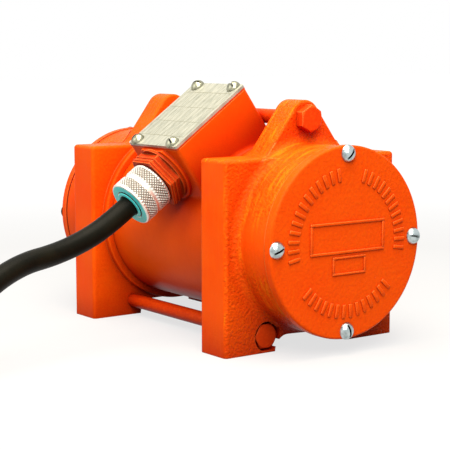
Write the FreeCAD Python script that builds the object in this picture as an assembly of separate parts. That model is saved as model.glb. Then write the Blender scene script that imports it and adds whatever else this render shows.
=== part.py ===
import FreeCAD, Part
import math
import os

from FreeCAD import Vector

# Electric vibration motor: two cast end housings with feet, clamped by three tie bolts onto a
# stator shell with a tilted terminal box.  Millimetres.  X runs along the shaft, +X to the front
# cover, and +Z is up.  The pieces are modelled about the shaft axis, and export_node lifts them
# so that the feet stand on Z = 0.

# ---------------------------------------------------------------- driving dimensions
AXIS_HEIGHT = 58.2            # shaft axis above the foot plane
CUT_PAST = 1.0                # a cut runs this far past the face that it opens
SUNK = 1.0                    # a fused feature starts this far inside the one that carries it
SAME = 1e-6                   # places nearer than this are one place

# stator shell: a plain tube
SHELL_R = 46.7
SHELL_WALL = 5.0
SHELL_SOCKET_DEPTH = 5.8      # length of shell held inside each housing's collar
SOCKET_CLEARANCE = 0.1

# end housings
HOUSING_GAP = 108.4           # between the two housings' inner faces
PLATE_THICK = 22.2            # foot plate, along the shaft
PLATE_HALF_WIDTH = 57.1
SHOULDER_Z = 43.0             # flat shoulder tops, above the shaft axis
PLATE_EDGE_R = 2.0
ARCH_HALF_WIDTH = 24.9        # opening between the two feet of one housing
ARCH_RISE = 8.3
COLLAR_WALL = 3.7             # lip round the shell
COLLAR_PROUD = 4.0
COLLAR_EDGE_R = 1.0
EAR_R = 9.7                   # rounded top of the ear
EAR_SLOPE = 36.7              # degrees of each ear side from vertical
EAR_FOOT_R = 6.0              # hollow between ear side and shoulder
EAR_THICK = 16.0
EAR_EDGE_R = 1.5
CHAMBER_R = 49.3              # weight chamber, outside
CHAMBER_WALL = 8.3
CHAMBER_FLOOR = 18.0          # solid web behind the chamber, from the inner face
CHAMBER_DEPTH = 26.2
CHAMBER_ROOT_R = 5.0          # cast fillet where chamber meets plate
CHAMBER_FLOOR_R = 3.0
BEARING_LIP = 2.8
BEARING_LIP_BORE_R = 16.0

# mounting holes, tapped from below into the feet
MOUNT_SPACING_X = 130.6
MOUNT_SPACING_Y = 96.0
MOUNT_HOLE_R = 4.0
MOUNT_HOLE_DEPTH = 21.0

# tie bolts, 5/16 inch
TIE_TOP_Z = 62.3
TIE_LOW_Y = 30.0
TIE_LOW_Z = -49.7
TIE_R = 3.97
TIE_HOLE_CLEARANCE = 0.28     # in the front housing
TIE_HEAD_AF = 12.7
TIE_HEAD_H = 5.3
TIE_END_INSET = 1.0           # screwed end, below the rear ear's outer face
TIE_CHAMFER_R = 6.0           # flat top of the hexagon head
POCKET_CLEARANCE = 0.8        # round the hexagon's corners
POCKET_FLOOR_WALL = 1.0       # left below the pocket at the foot plane

# covers and their gaskets
COVER_R = 50.0
COVER_THICK = 5.0
COVER_EDGE_R = 1.2
COVER_SPIGOT_H = 2.8
COVER_SPIGOT_CLEARANCE = 0.3
COVER_SKIN = 3.7
COVER_RIM_WALL = 6.5
GASKET_THICK = 0.8
COVER_SCREW_CIRCLE_R = 45.8
COVER_SCREW_COUNT = 4

# slotted round-head screws, numbers 10 and 8
SCREW10_R = 2.3
SCREW10_HEAD_R = 4.55
SCREW10_HEAD_H = 3.3
SCREW10_LENGTH = 17.0
SCREW8_R = 2.0
SCREW8_HEAD_R = 4.0
SCREW8_HEAD_H = 3.3
SCREW8_LENGTH = 11.0
SCREW_SLOT_W = 1.1
SCREW_SLOT_DEPTH = 0.5        # share of the head's height
SCREW_CLEARANCE = 0.3         # in a cover or lid
THREAD_CLEARANCE = 0.05       # in its thread
THREAD_TIP_GAP = 1.5

# terminal box, cast on the shell and tilted about the shaft axis
BOX_TILT = 35.6
BOX_FRONT_X = 39.6            # side towards the front housing
BOX_HALF_X = 22.9
BOX_LOW_S = -22.9             # end with the cord connector
BOX_HIGH_S = 31.8             # end beside the top tie bolt
BOX_RISE = 28.7               # lid's face above the tube
BOX_WALL = 4.0
BOX_FLOOR_RISE = 3.8          # inside floor above the tube
BOX_EDGE_R = 2.0
BOX_ROOT_R = 3.0              # cast fillet where box meets tube
BOX_GASKET = 1.0
LID_THICK = 1.5
LID_CORNER_R = 1.5
LID_SCREW_HALF_X = 16.8
LID_SCREW_INSET = 3.0
LID_BOSS_R = 4.6
LEAD_HOLE_R = 4.0             # for the motor's leads, over its end turns
LEAD_HOLE_CORE_GAP = 1.0
LEAD_HOLE_S = 4.5
HUB_R = 18.0                  # round boss on the low end
HUB_PROUD = 2.0
HUB_EDGE_R = 0.8
HUB_AXIS_DROP = 17.5          # connector axis below the lid's face

# cord connector, half-inch size
CONN_THREAD_R = 10.3
CONN_THREAD_L = 8.0
CONN_FLANGE_R = 16.2
CONN_FLANGE_T = 1.6
CONN_HEX_AF = 28.0
CONN_HEX_L = 7.2
CONN_NECK_R = 11.0
CONN_NECK_L = 11.5
CONN_BORE_R = 7.4
CONN_NUT_R = 13.2
CONN_NUT_L = 18.0
CONN_NUT_FACE = 3.2
CONN_NUT_MOUTH_R = 8.2
CONN_THREAD_GAP = 0.1
CONN_NUT_EDGE = 0.8
BUSH_SEAT_R = 9.4
BUSH_SEAT_L = 9.0
BUSH_PROUD = 0.8
BUSH_WALL_GAP = 0.1
CONN_NUT_GAP = 0.3            # nut short of the hexagon
CORD_INSIDE = 10.0            # jacketed cord inside the hub's face

# leads in the terminal box, splices lying on its floor and the earth screw
LEAD_R = 1.2
SUPPLY_LEAD_RING_R = 2.4      # circle of the three conductors in the cord
SUPPLY_LEAD_STRAIGHT = 3.5    # straight out of the jacket and into a splice
SPLICE_R = 2.4
SPLICE_L = 12.0
SPLICE_EDGE = 0.5
SPLICE_MOUTH_L = 3.0          # insulated lead inside each end
SPLICE_CLEARANCE = 0.05
SPLICE_S = 0.0
SPLICE_WALL_GAP = 4.3         # first splice from the rear wall
SPLICE_PITCH = 7.0
MOTOR_LEAD_STRAIGHT = 2.0
MOTOR_LEAD_STACK = 3.4        # one lead's height over the other's
MOTOR_LEAD_PITCH = 3.0        # side by side
MOTOR_LEAD_WALL_GAP = 2.4     # loop's crest from the high wall
EARTH_X = 5.3                 # earth screw from the middle of the box
EARTH_S = 9.0
EARTH_SCREW_LENGTH = 6.0
EARTH_SLOT_TURN = 50.0        # where its slot came to rest
EARTH_RING_R = 4.4
EARTH_RING_T = 0.9
EARTH_TONGUE_HALF_W = 1.5
EARTH_BARREL_R = 1.9
EARTH_BARREL_L = 6.0
EARTH_BARREL_GAP = 4.6        # barrel's end from the ring's middle
EARTH_BARREL_BORE_L = 4.5
EARTH_LEAD_STRAIGHT = 3.0

# rotor
SHAFT_CORE_R = 10.0
SHAFT_BODY_R = 10.6
SHAFT_COLLAR_X = 32.0
BEARING_BORE_R = 8.5
BEARING_OUTER_R = 20.0
BEARING_WIDTH = 12.0
BALL_R = 3.375
BALL_PITCH_R = 14.25
BALL_COUNT = 8
BALL_CLEARANCE = 0.04
INNER_RACE_R = 12.2
OUTER_RACE_R = 16.3
RACE_EDGE_R = 0.6
CAGE_IN_R = 13.2
CAGE_OUT_R = 15.3
CAGE_SIDE_WALL = 0.9
CAGE_POCKET_CLEARANCE = 0.12
PRELOAD_WASHER = 1.4
PRELOAD_WASHER_BORE_GAP = 0.5
PRELOAD_WASHER_RIM_GAP = 0.3
CORE_HALF_L = 26.0
AIR_GAP = 0.35
ROTOR_CORE_R = 21.6
ROTOR_BAR_R = 1.7
ROTOR_BAR_CIRCLE_R = 18.6
ROTOR_BAR_COUNT = 18
END_RING_L = 5.0
END_RING_IN_R = 12.5
END_RING_DRAFT = 0.4          # cast rings smaller than the core
FAN_BLADE_COUNT = 6
FAN_BLADE_L = 5.0
FAN_BLADE_T = 1.8
FAN_BLADE_INSET = 1.0
SLOT_COUNT = 24
SLOT_DEPTH = 10.0
SLOT_ROOF = 2.2
SLOT_W = 3.2
SLOT_MOUTH_W = 1.4
SLOT_LINER = 0.15
END_TURN_L = 13.0
END_TURN_OUT_GAP = 3.2
END_TURN_ROUND = 3.0
END_TURN_CORE_GAP = 0.3

# eccentric weights
WEIGHT_SEAT_R = 7.5
WEIGHT_THICK = 14.0
WEIGHT_R = 37.5
WEIGHT_HUB_R = 14.0
WEIGHT_BOSS_R = 11.0
WEIGHT_FLOOR_GAP = 0.8
WEIGHT_CUT_DROP = 3.0
WEIGHT_NECK_R = 5.0
KEY_W = 5.0
KEY_H = 5.0
KEY_L = 11.0
KEY_TOP_GAP = 0.2
WEIGHT_WASHER_R = 12.0
WEIGHT_WASHER_T = 1.6
WEIGHT_NUT_AF = 19.0
WEIGHT_NUT_H = 6.0
SHAFT_END_R = 6.0
SHAFT_END_PROUD = 0.8
SHAFT_CHAMFER = 0.8
SHAFT_STEP_GAP = 0.3          # shoulder short of the face that it lets the nut clamp
JOURNAL_STEP = 0.5            # journal short of the bearing's outer face

# supply cord: the route is a list chosen by hand, in the standing frame (Z = 0 at the feet)
CORD_R = 5.7
COIL_TURN_GAP = 11.6          # from turn to turn
COIL_OUTER_TURN_R = 71.7
COIL_EDGE_R = 4.0
COIL_SLACK = 0.2
COIL_ENTRY = (58.5, -264.0)
CORD_FIRST_RUN = 16.0
CORD_ROUTE = [(17.5, -106.0, 57.5), (20.5, -124.5, 52.8), (26.0, -144.5, 51.0),
              (33.5, -165.0, 44.5), (42.0, -184.0, 33.5), (50.0, -205.0, 23.5),
              (55.8, -228.0, 18.2), (58.5, -246.0, 17.3), (58.5, -264.0, 17.3)]
TAIL_ROUTE = [(-84.9, -264.0, 5.7), (-84.9, -245.0, 5.7), (-85.4, -226.0, 8.4),
              (-86.2, -207.0, 13.2), (-86.4, -189.0, 13.2)]

# plug: a moulded three-blade plug
PLUG_SLEEVE_L = 24.0
PLUG_SLEEVE_R0 = 7.2
PLUG_SLEEVE_R1 = 9.4
PLUG_BODY_L = 30.0
PLUG_BODY_HALF_W = 14.5
PLUG_BODY_HALF_H = 13.0
PLUG_BODY_EDGE_R = 4.0
BLADE_L = 17.0
BLADE_W = 6.3
BLADE_T = 1.5
BLADE_HALF_SPACING = 6.35
BLADE_ROOT_L = 6.0
EARTH_PIN_R = 2.4
EARTH_PIN_DROP = 7.0
BLADE_LIFT = 4.0

# ---------------------------------------------------------------- worked-out places
INNER_FACE = HOUSING_GAP / 2
PLATE_FRONT = INNER_FACE + PLATE_THICK
EAR_FRONT = INNER_FACE + EAR_THICK
SHELL_BORE_R = SHELL_R - SHELL_WALL
COLLAR_R = SHELL_R + SOCKET_CLEARANCE + COLLAR_WALL
SHELL_END = INNER_FACE - COLLAR_PROUD + SHELL_SOCKET_DEPTH
FLOOR_X = INNER_FACE + CHAMBER_FLOOR
CHAMBER_END = FLOOR_X + CHAMBER_DEPTH
CHAMBER_IN_R = CHAMBER_R - CHAMBER_WALL
LIP_X = FLOOR_X - BEARING_LIP
COVER_BACK = CHAMBER_END + GASKET_THICK
COVER_FRONT = COVER_BACK + COVER_THICK
TIE_PLACES = [(0.0, TIE_TOP_Z), (-TIE_LOW_Y, TIE_LOW_Z), (TIE_LOW_Y, TIE_LOW_Z)]
FOOT_Z = -AXIS_HEIGHT
HEX_CORNER = 1 / math.cos(math.radians(30))
BOX_X = BOX_FRONT_X - BOX_HALF_X
BOX_TOP = SHELL_R + BOX_RISE
BOX_RIM = BOX_TOP - LID_THICK - BOX_GASKET
BOX_FLOOR = SHELL_R + BOX_FLOOR_RISE
LEAD_HOLE_X = CORE_HALF_L + LEAD_HOLE_CORE_GAP + LEAD_HOLE_R
END_TURN_R = SHELL_BORE_R - END_TURN_OUT_GAP
HUB_N = BOX_TOP - HUB_AXIS_DROP
HUB_FACE_S = BOX_LOW_S - HUB_PROUD
TILT = math.radians(BOX_TILT)


# ---------------------------------------------------------------- small helpers
def turned(profile):
    """Solid of revolution about the shaft axis from closed (x, r) points."""
    points = [Vector(x, 0, r) for x, r in profile]
    face = Part.Face(Part.makePolygon(points + points[:1]))
    return face.revolve(Vector(0, 0, 0), Vector(1, 0, 0), 360)


def rod(x0, x1, radius, y=0.0, z=0.0):
    """Cylinder along X."""
    return Part.makeCylinder(radius, x1 - x0, Vector(x0, y, z), Vector(1, 0, 0))


def ring(x0, x1, r_in, r_out):
    """Plain ring about the shaft axis."""
    return rod(x0, x1, r_out).cut(rod(x0, x1, r_in))


def prism(wire_points, x0, x1):
    """Prism along X from closed (y, z) points."""
    points = [Vector(x0, y, z) for y, z in wire_points]
    face = Part.Face(Part.makePolygon(points + points[:1]))
    return face.extrude(Vector(x1 - x0, 0, 0))


def hexagon(x0, x1, across_flats, y=0.0, z=0.0, turn=0.0):
    """Hexagonal bar along X; turn 0 puts two corners on the Y direction."""
    radius = across_flats / 2 * HEX_CORNER
    corners = []
    for step in range(6):
        angle = math.radians(turn + 60 * step)
        corners.append((y + radius * math.cos(angle), z + radius * math.sin(angle)))
    return prism(corners, x0, x1)


def about_x(shape, degrees):
    """Copy of a shape turned about the shaft axis."""
    copy = shape.copy()
    copy.rotate(Vector(0, 0, 0), Vector(1, 0, 0), degrees)
    return copy


def mirrored(shape):
    """Copy of a front shape for the rear end."""
    return shape.mirror(Vector(0, 0, 0), Vector(1, 0, 0))


def box_between(low, high):
    """Box from its low corner to its high corner."""
    size = [high[i] - low[i] for i in range(3)]
    return Part.makeBox(size[0], size[1], size[2], Vector(*low))


def box_frame(shape):
    """Turn a shape made in the terminal box's own frame (x, s, n) into place."""
    return about_x(shape, BOX_TILT)


def gland_frame(shape):
    """Turn a shape made along +X, outward from 0 at the hub's face, onto the connector axis."""
    placed = shape.copy()
    placed.rotate(Vector(0, 0, 0), Vector(0, 0, 1), -90)
    placed.translate(Vector(BOX_X, HUB_FACE_S, HUB_N))
    return box_frame(placed)


def edges_along_x(shape, tolerance=SAME):
    """Straight edges that run along X."""
    found = []
    for edge in shape.Edges:
        ends = edge.Vertexes
        if edge.Curve.TypeId != "Part::GeomLine" or len(ends) != 2:
            continue
        span = ends[1].Point.sub(ends[0].Point)
        if abs(span.y) < tolerance and abs(span.z) < tolerance:
            found.append(edge)
    return found


def edges_in_plane_x(shape, x, tolerance=SAME):
    """Edges that lie in one plane square to the shaft."""
    found = []
    for edge in shape.Edges:
        box = edge.BoundBox
        if abs(box.XMin - x) < tolerance and abs(box.XMax - x) < tolerance:
            found.append(edge)
    return found


def edges_parallel(shape, axis, tolerance=SAME):
    """Straight edges parallel to a unit vector."""
    found = []
    for edge in shape.Edges:
        ends = edge.Vertexes
        if edge.Curve.TypeId != "Part::GeomLine" or len(ends) != 2:
            continue
        span = ends[1].Point.sub(ends[0].Point)
        if span.cross(axis).Length < tolerance:
            found.append(edge)
    return found


def face_of(edges):
    """Flat face inside a closed run of edges."""
    return Part.Face(Part.Wire(edges))


def line(a, b):
    """Straight edge between two points."""
    return Part.LineSegment(a, b).toShape()


def arc(a, middle, b):
    """Round edge from a to b through a middle point."""
    return Part.Arc(a, middle, b).toShape()


# ---------------------------------------------------------------- end housing
def yz(y, z):
    """Point in the inner face's plane."""
    return Vector(INNER_FACE, y, z)


def round_point(centre_y, centre_z, radius, degrees):
    """Point on a circle in the inner face's plane."""
    angle = math.radians(degrees)
    return yz(centre_y + radius * math.cos(angle), centre_z + radius * math.sin(angle))


def foot_plate_face():
    """Plate outline: flat shoulders, straight sides, two feet with a round-cornered arch."""
    centre = ARCH_HALF_WIDTH - ARCH_RISE
    arch_top = FOOT_Z + ARCH_RISE
    w = PLATE_HALF_WIDTH
    right = arc(yz(centre, arch_top), round_point(centre, FOOT_Z, ARCH_RISE, 45),
                yz(ARCH_HALF_WIDTH, FOOT_Z))
    left = arc(yz(-ARCH_HALF_WIDTH, FOOT_Z), round_point(-centre, FOOT_Z, ARCH_RISE, 135),
               yz(-centre, arch_top))
    return face_of([line(yz(-centre, arch_top), yz(centre, arch_top)),
                    right,
                    line(yz(ARCH_HALF_WIDTH, FOOT_Z), yz(w, FOOT_Z)),
                    line(yz(w, FOOT_Z), yz(w, SHOULDER_Z)),
                    line(yz(w, SHOULDER_Z), yz(-w, SHOULDER_Z)),
                    line(yz(-w, SHOULDER_Z), yz(-w, FOOT_Z)),
                    line(yz(-w, FOOT_Z), yz(-ARCH_HALF_WIDTH, FOOT_Z)),
                    left])


def ear_face():
    """Ear outline: round top, sloping sides, hollow feet that run out onto the shoulders."""
    slope = math.radians(EAR_SLOPE)
    out_y, out_z = math.cos(slope), math.sin(slope)
    top_y, top_z = EAR_R * out_y, TIE_TOP_Z + EAR_R * out_z
    hollow_z = SHOULDER_Z + EAR_FOOT_R
    hollow_y = top_y + (EAR_FOOT_R + (top_z - hollow_z) * out_z) / out_y
    foot_y, foot_z = hollow_y - EAR_FOOT_R * out_y, hollow_z - EAR_FOOT_R * out_z
    middle = (EAR_SLOPE - 180 - 90) / 2
    buried = SHOULDER_Z - EAR_FOOT_R
    edges = []
    for side in (1, -1):
        angle = middle if side > 0 else 180 - middle
        edges.append(line(yz(side * top_y, top_z), yz(side * foot_y, foot_z)))
        edges.append(arc(yz(side * foot_y, foot_z),
                         round_point(side * hollow_y, hollow_z, EAR_FOOT_R, angle),
                         yz(side * hollow_y, SHOULDER_Z)))
        edges.append(line(yz(side * hollow_y, SHOULDER_Z), yz(side * hollow_y, buried)))
    edges.append(line(yz(hollow_y, buried), yz(-hollow_y, buried)))
    edges.append(arc(yz(top_y, top_z), yz(0, TIE_TOP_Z + EAR_R), yz(-top_y, top_z)))
    return face_of(Part.__sortEdges__(edges))


def root_fillet(face_x, outline):
    """Cast fillet round the chamber where it grows out of a flat face, kept inside an outline."""
    r = CHAMBER_ROOT_R
    inside = CHAMBER_R - SUNK
    turn = math.radians(45)
    middle = Vector(face_x + r - r * math.cos(turn), 0, CHAMBER_R + r - r * math.sin(turn))
    face = face_of([line(Vector(face_x, 0, inside), Vector(face_x, 0, CHAMBER_R + r)),
                    arc(Vector(face_x, 0, CHAMBER_R + r), middle,
                        Vector(face_x + r, 0, CHAMBER_R)),
                    line(Vector(face_x + r, 0, CHAMBER_R), Vector(face_x + r, 0, inside)),
                    line(Vector(face_x + r, 0, inside), Vector(face_x, 0, inside))])
    band = face.revolve(Vector(0, 0, 0), Vector(1, 0, 0), 360)
    mask = outline.extrude(Vector(face_x + r - INNER_FACE, 0, 0))
    return band.common(mask)


def end_housing(tie_hole_r):
    """Front end housing: plate with feet, ear, collar, weight chamber, seats and holes.

    Both ends are one casting: the front one is drilled to clear the tie bolts and the rear one
    is drilled and tapped for them, so only the radius of those holes differs.
    """
    outline = foot_plate_face()
    plate = outline.extrude(Vector(PLATE_THICK, 0, 0))
    corners = [e for e in edges_parallel(plate, Vector(0, 0, 1))
               if abs(abs(e.CenterOfMass.y) - PLATE_HALF_WIDTH) < SAME]
    shoulder = [e for e in edges_parallel(plate, Vector(0, 1, 0))
                if abs(e.CenterOfMass.z - SHOULDER_Z) < SAME]
    ends = [e for e in edges_along_x(plate)
            if abs(abs(e.CenterOfMass.y) - PLATE_HALF_WIDTH) < SAME
            and abs(e.CenterOfMass.z - SHOULDER_Z) < SAME]
    plate = plate.makeFillet(PLATE_EDGE_R, corners + shoulder + ends)

    ear_outline = ear_face()
    ear = ear_outline.extrude(Vector(EAR_THICK, 0, 0))
    rims = []
    for edge in edges_in_plane_x(ear, EAR_FRONT) + edges_in_plane_x(ear, INNER_FACE):
        if edge.CenterOfMass.z > SHOULDER_Z + EAR_EDGE_R:
            rims.append(edge)
    ear = ear.makeFillet(EAR_EDGE_R, rims)

    collar = turned([(INNER_FACE, CHAMBER_IN_R), (INNER_FACE, COLLAR_R),
                     (INNER_FACE - COLLAR_PROUD, COLLAR_R),
                     (INNER_FACE - COLLAR_PROUD, CHAMBER_IN_R)])
    outer_rim = [e for e in edges_in_plane_x(collar, INNER_FACE - COLLAR_PROUD)
                 if e.BoundBox.ZMax > COLLAR_R - SAME]
    collar = collar.makeFillet(COLLAR_EDGE_R, outer_rim)
    chamber = rod(INNER_FACE, CHAMBER_END, CHAMBER_R)
    body = plate.multiFuse([ear, collar, chamber, root_fillet(PLATE_FRONT, outline),
                            root_fillet(EAR_FRONT, ear_outline)])

    socket = rod(INNER_FACE - COLLAR_PROUD - CUT_PAST, SHELL_END, SHELL_R + SOCKET_CLEARANCE)
    seat = rod(SHELL_END - CUT_PAST, LIP_X, BEARING_OUTER_R)
    lip = rod(LIP_X - CUT_PAST, FLOOR_X + CUT_PAST, BEARING_LIP_BORE_R)
    cavity = rod(FLOOR_X, CHAMBER_END + CUT_PAST, CHAMBER_IN_R)
    cavity = cavity.makeFillet(CHAMBER_FLOOR_R, edges_in_plane_x(cavity, FLOOR_X))
    cuts = [socket, seat, lip, cavity]
    for y, z in TIE_PLACES:
        cuts.append(rod(INNER_FACE - CUT_PAST, PLATE_FRONT + CUT_PAST, tie_hole_r, y, z))
    pocket_r = TIE_HEAD_AF / 2 * HEX_CORNER + POCKET_CLEARANCE
    keep_above = box_between((EAR_FRONT, -PLATE_HALF_WIDTH, FOOT_Z + POCKET_FLOOR_WALL),
                             (PLATE_FRONT + CUT_PAST, PLATE_HALF_WIDTH, 0))
    for y, z in TIE_PLACES[1:]:
        pocket = rod(EAR_FRONT, PLATE_FRONT + CUT_PAST, pocket_r, y, z)
        cuts.append(pocket.common(keep_above))
    thread_depth = SCREW10_LENGTH - COVER_THICK - GASKET_THICK + THREAD_TIP_GAP
    for hole in range(COVER_SCREW_COUNT):
        drill = rod(CHAMBER_END - thread_depth, CHAMBER_END + CUT_PAST,
                    SCREW10_R + THREAD_CLEARANCE, 0, COVER_SCREW_CIRCLE_R)
        cuts.append(about_x(drill, 360 / COVER_SCREW_COUNT * hole))
    for side in (1, -1):
        base = Vector(MOUNT_SPACING_X / 2, side * MOUNT_SPACING_Y / 2, FOOT_Z - CUT_PAST)
        cuts.append(Part.makeCylinder(MOUNT_HOLE_R, MOUNT_HOLE_DEPTH + CUT_PAST, base))
    return body.cut(Part.makeCompound(cuts)).removeSplitter()


# ---------------------------------------------------------------- covers and screws
def cover():
    """Front cover: dished disc with a spigot and four screw holes."""
    spigot_r = CHAMBER_IN_R - COVER_SPIGOT_CLEARANCE
    spigot_x = CHAMBER_END - COVER_SPIGOT_H + GASKET_THICK
    dish_r = spigot_r - COVER_RIM_WALL
    e = COVER_EDGE_R
    disc = turned([(spigot_x, dish_r), (spigot_x, spigot_r), (COVER_BACK, spigot_r),
                   (COVER_BACK, COVER_R), (COVER_FRONT, COVER_R), (COVER_FRONT, 0),
                   (COVER_FRONT - COVER_SKIN, 0), (COVER_FRONT - COVER_SKIN, dish_r)])
    rim = [edge for edge in edges_in_plane_x(disc, COVER_FRONT)
           if edge.BoundBox.ZMax > COVER_R - SAME]
    disc = disc.makeFillet(e, rim)
    for hole in range(COVER_SCREW_COUNT):
        drill = rod(spigot_x - CUT_PAST, COVER_FRONT + CUT_PAST, SCREW10_R + SCREW_CLEARANCE, 0,
                    COVER_SCREW_CIRCLE_R)
        disc = disc.cut(about_x(drill, 360 / COVER_SCREW_COUNT * hole))
    return disc


def cover_gasket():
    """Flat ring between chamber rim and cover."""
    sheet = ring(CHAMBER_END, COVER_BACK, CHAMBER_IN_R, CHAMBER_R)
    for hole in range(COVER_SCREW_COUNT):
        drill = rod(CHAMBER_END - CUT_PAST, COVER_BACK + CUT_PAST, SCREW10_R + SCREW_CLEARANCE, 0,
                    COVER_SCREW_CIRCLE_R)
        sheet = sheet.cut(about_x(drill, 360 / COVER_SCREW_COUNT * hole))
    return sheet


def slotted_screw(shank_r, shank_l, head_r, head_h, slot_turn=0.0):
    """Round-head screw along X: the head's seat at 0, the head towards +X."""
    dome_r = (head_r ** 2 + head_h ** 2) / (2 * head_h)
    dome = Part.makeSphere(dome_r, Vector(head_h - dome_r, 0, 0))
    head = dome.common(rod(0, head_h, head_r))
    slot = box_between((head_h * (1 - SCREW_SLOT_DEPTH), -SCREW_SLOT_W / 2, -head_r),
                       (head_h + CUT_PAST, SCREW_SLOT_W / 2, head_r))
    head = about_x(head.cut(slot), slot_turn)
    return head.fuse(rod(-shank_l, 0.0, shank_r)).removeSplitter()


def cover_screws():
    """The four screws of the front cover, slots as the last turn left them."""
    slots = [-38.0, 24.0, 12.0, -12.0]
    screws = []
    for place in range(COVER_SCREW_COUNT):
        slot = slots[place % len(slots)]
        screw = slotted_screw(SCREW10_R, SCREW10_LENGTH, SCREW10_HEAD_R, SCREW10_HEAD_H, slot)
        screw.translate(Vector(COVER_FRONT, 0, COVER_SCREW_CIRCLE_R))
        screws.append(about_x(screw, 360 / COVER_SCREW_COUNT * place))
    return Part.makeCompound(screws)


# ---------------------------------------------------------------- tie bolts
def tie_bolts():
    """Three long bolts: hexagon heads in front, ends screwed into the rear housing."""
    tail = EAR_FRONT - TIE_END_INSET
    bolts = []
    for index, (y, z) in enumerate(TIE_PLACES):
        turn = 30 if index == 0 else 0
        head = hexagon(EAR_FRONT, EAR_FRONT + TIE_HEAD_H, TIE_HEAD_AF, y, z, turn)
        dome = Part.makeCone(TIE_CHAMFER_R + 2 * TIE_HEAD_H, TIE_CHAMFER_R, TIE_HEAD_H,
                             Vector(EAR_FRONT, y, z), Vector(1, 0, 0))
        bolts.append(head.common(dome).fuse(rod(-tail, EAR_FRONT, TIE_R, y, z)).removeSplitter())
    return Part.makeCompound(bolts)


# ---------------------------------------------------------------- stator shell and box
def lid_screw_places():
    """Centres of the lid screws in the box frame, as (x, s)."""
    low, high = BOX_LOW_S + LID_SCREW_INSET, BOX_HIGH_S - LID_SCREW_INSET
    return [(BOX_X + side * LID_SCREW_HALF_X, s) for side in (-1, 1) for s in (low, high)]


def box_column(x, s, n0, n1, radius):
    """Cylinder square to the lid, in the box frame."""
    return Part.makeCylinder(radius, n1 - n0, Vector(x, s, n0))


def stator_shell():
    """Tube with the terminal box cast on: walls, floor, screw bosses, hub and lead hole."""
    tube = rod(-SHELL_END, SHELL_END, SHELL_R)
    low = (BOX_X - BOX_HALF_X, BOX_LOW_S, 0)
    high = (BOX_X + BOX_HALF_X, BOX_HIGH_S, BOX_RIM)
    block = box_between(low, high)
    block = block.makeFillet(BOX_EDGE_R, edges_parallel(block, Vector(0, 0, 1)))
    hub = Part.makeCylinder(HUB_R, HUB_PROUD + BOX_WALL,
                            Vector(BOX_X, HUB_FACE_S, HUB_N), Vector(0, 1, 0))
    front_edge = [e for e in hub.Edges if e.BoundBox.YMax < HUB_FACE_S + SAME]
    hub = hub.makeFillet(HUB_EDGE_R, front_edge)
    hub_room = box_between((low[0], HUB_FACE_S - CUT_PAST, 0),
                           (high[0], BOX_LOW_S + BOX_WALL, BOX_RIM))
    shell = tube.fuse(block)
    roots = [e for e in shell.Edges
             if on_tube(e) and low[0] - SUNK < e.CenterOfMass.x < high[0] + SUNK]
    shell = shell.makeFillet(BOX_ROOT_R, roots)
    shell = box_frame(shell.fuse(hub.common(hub_room)))

    wall = BOX_WALL
    cavity = box_between((low[0] + wall, low[1] + wall, BOX_FLOOR),
                         (high[0] - wall, high[1] - wall, BOX_RIM + CUT_PAST))
    cavity = cavity.makeFillet(BOX_EDGE_R, edges_parallel(cavity, Vector(0, 0, 1)))
    for x, s in lid_screw_places():
        cavity = cavity.cut(box_column(x, s, BOX_FLOOR - SUNK, BOX_RIM + 2 * CUT_PAST, LID_BOSS_R))
    cuts = [cavity, box_column(LEAD_HOLE_X, LEAD_HOLE_S, SHELL_BORE_R - SHELL_WALL,
                               BOX_FLOOR + CUT_PAST, LEAD_HOLE_R)]
    thread = SCREW8_LENGTH - LID_THICK - BOX_GASKET + THREAD_TIP_GAP
    for x, s in lid_screw_places():
        cuts.append(box_column(x, s, BOX_RIM - thread, BOX_RIM + CUT_PAST,
                               SCREW8_R + THREAD_CLEARANCE))
    earth_tip = BOX_FLOOR + EARTH_RING_T - EARTH_SCREW_LENGTH - THREAD_TIP_GAP
    cuts.append(box_column(BOX_X + EARTH_X, EARTH_S, earth_tip, BOX_FLOOR + CUT_PAST,
                           SCREW8_R + THREAD_CLEARANCE))
    entry = Part.makeCylinder(CONN_THREAD_R + THREAD_CLEARANCE,
                              CUT_PAST + CONN_THREAD_L + THREAD_TIP_GAP,
                              Vector(BOX_X, HUB_FACE_S - CUT_PAST, HUB_N), Vector(0, 1, 0))
    cuts.append(entry)
    shell = shell.cut(box_frame(Part.makeCompound(cuts)))
    return shell.cut(rod(-SHELL_END - CUT_PAST, SHELL_END + CUT_PAST, SHELL_BORE_R)).removeSplitter()


def on_tube(edge, tolerance=1e-4):
    """Whether both ends and the middle of an edge lie on the tube's outer face."""
    first, last = edge.ParameterRange
    for share in (0.0, 0.5, 1.0):
        point = edge.valueAt(first + share * (last - first))
        if abs(math.hypot(point.y, point.z) - SHELL_R) > tolerance:
            return False
    return True


def lid_blank(n0, n1):
    """Plate with the box's outline, in the box frame."""
    plate = box_between((BOX_X - BOX_HALF_X, BOX_LOW_S, n0), (BOX_X + BOX_HALF_X, BOX_HIGH_S, n1))
    plate = plate.makeFillet(LID_CORNER_R, edges_parallel(plate, Vector(0, 0, 1)))
    for x, s in lid_screw_places():
        plate = plate.cut(box_column(x, s, n0 - CUT_PAST, n1 + CUT_PAST, SCREW8_R + SCREW_CLEARANCE))
    return plate


def terminal_lid():
    """Flat lid of the terminal box."""
    return box_frame(lid_blank(BOX_TOP - LID_THICK, BOX_TOP))


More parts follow.
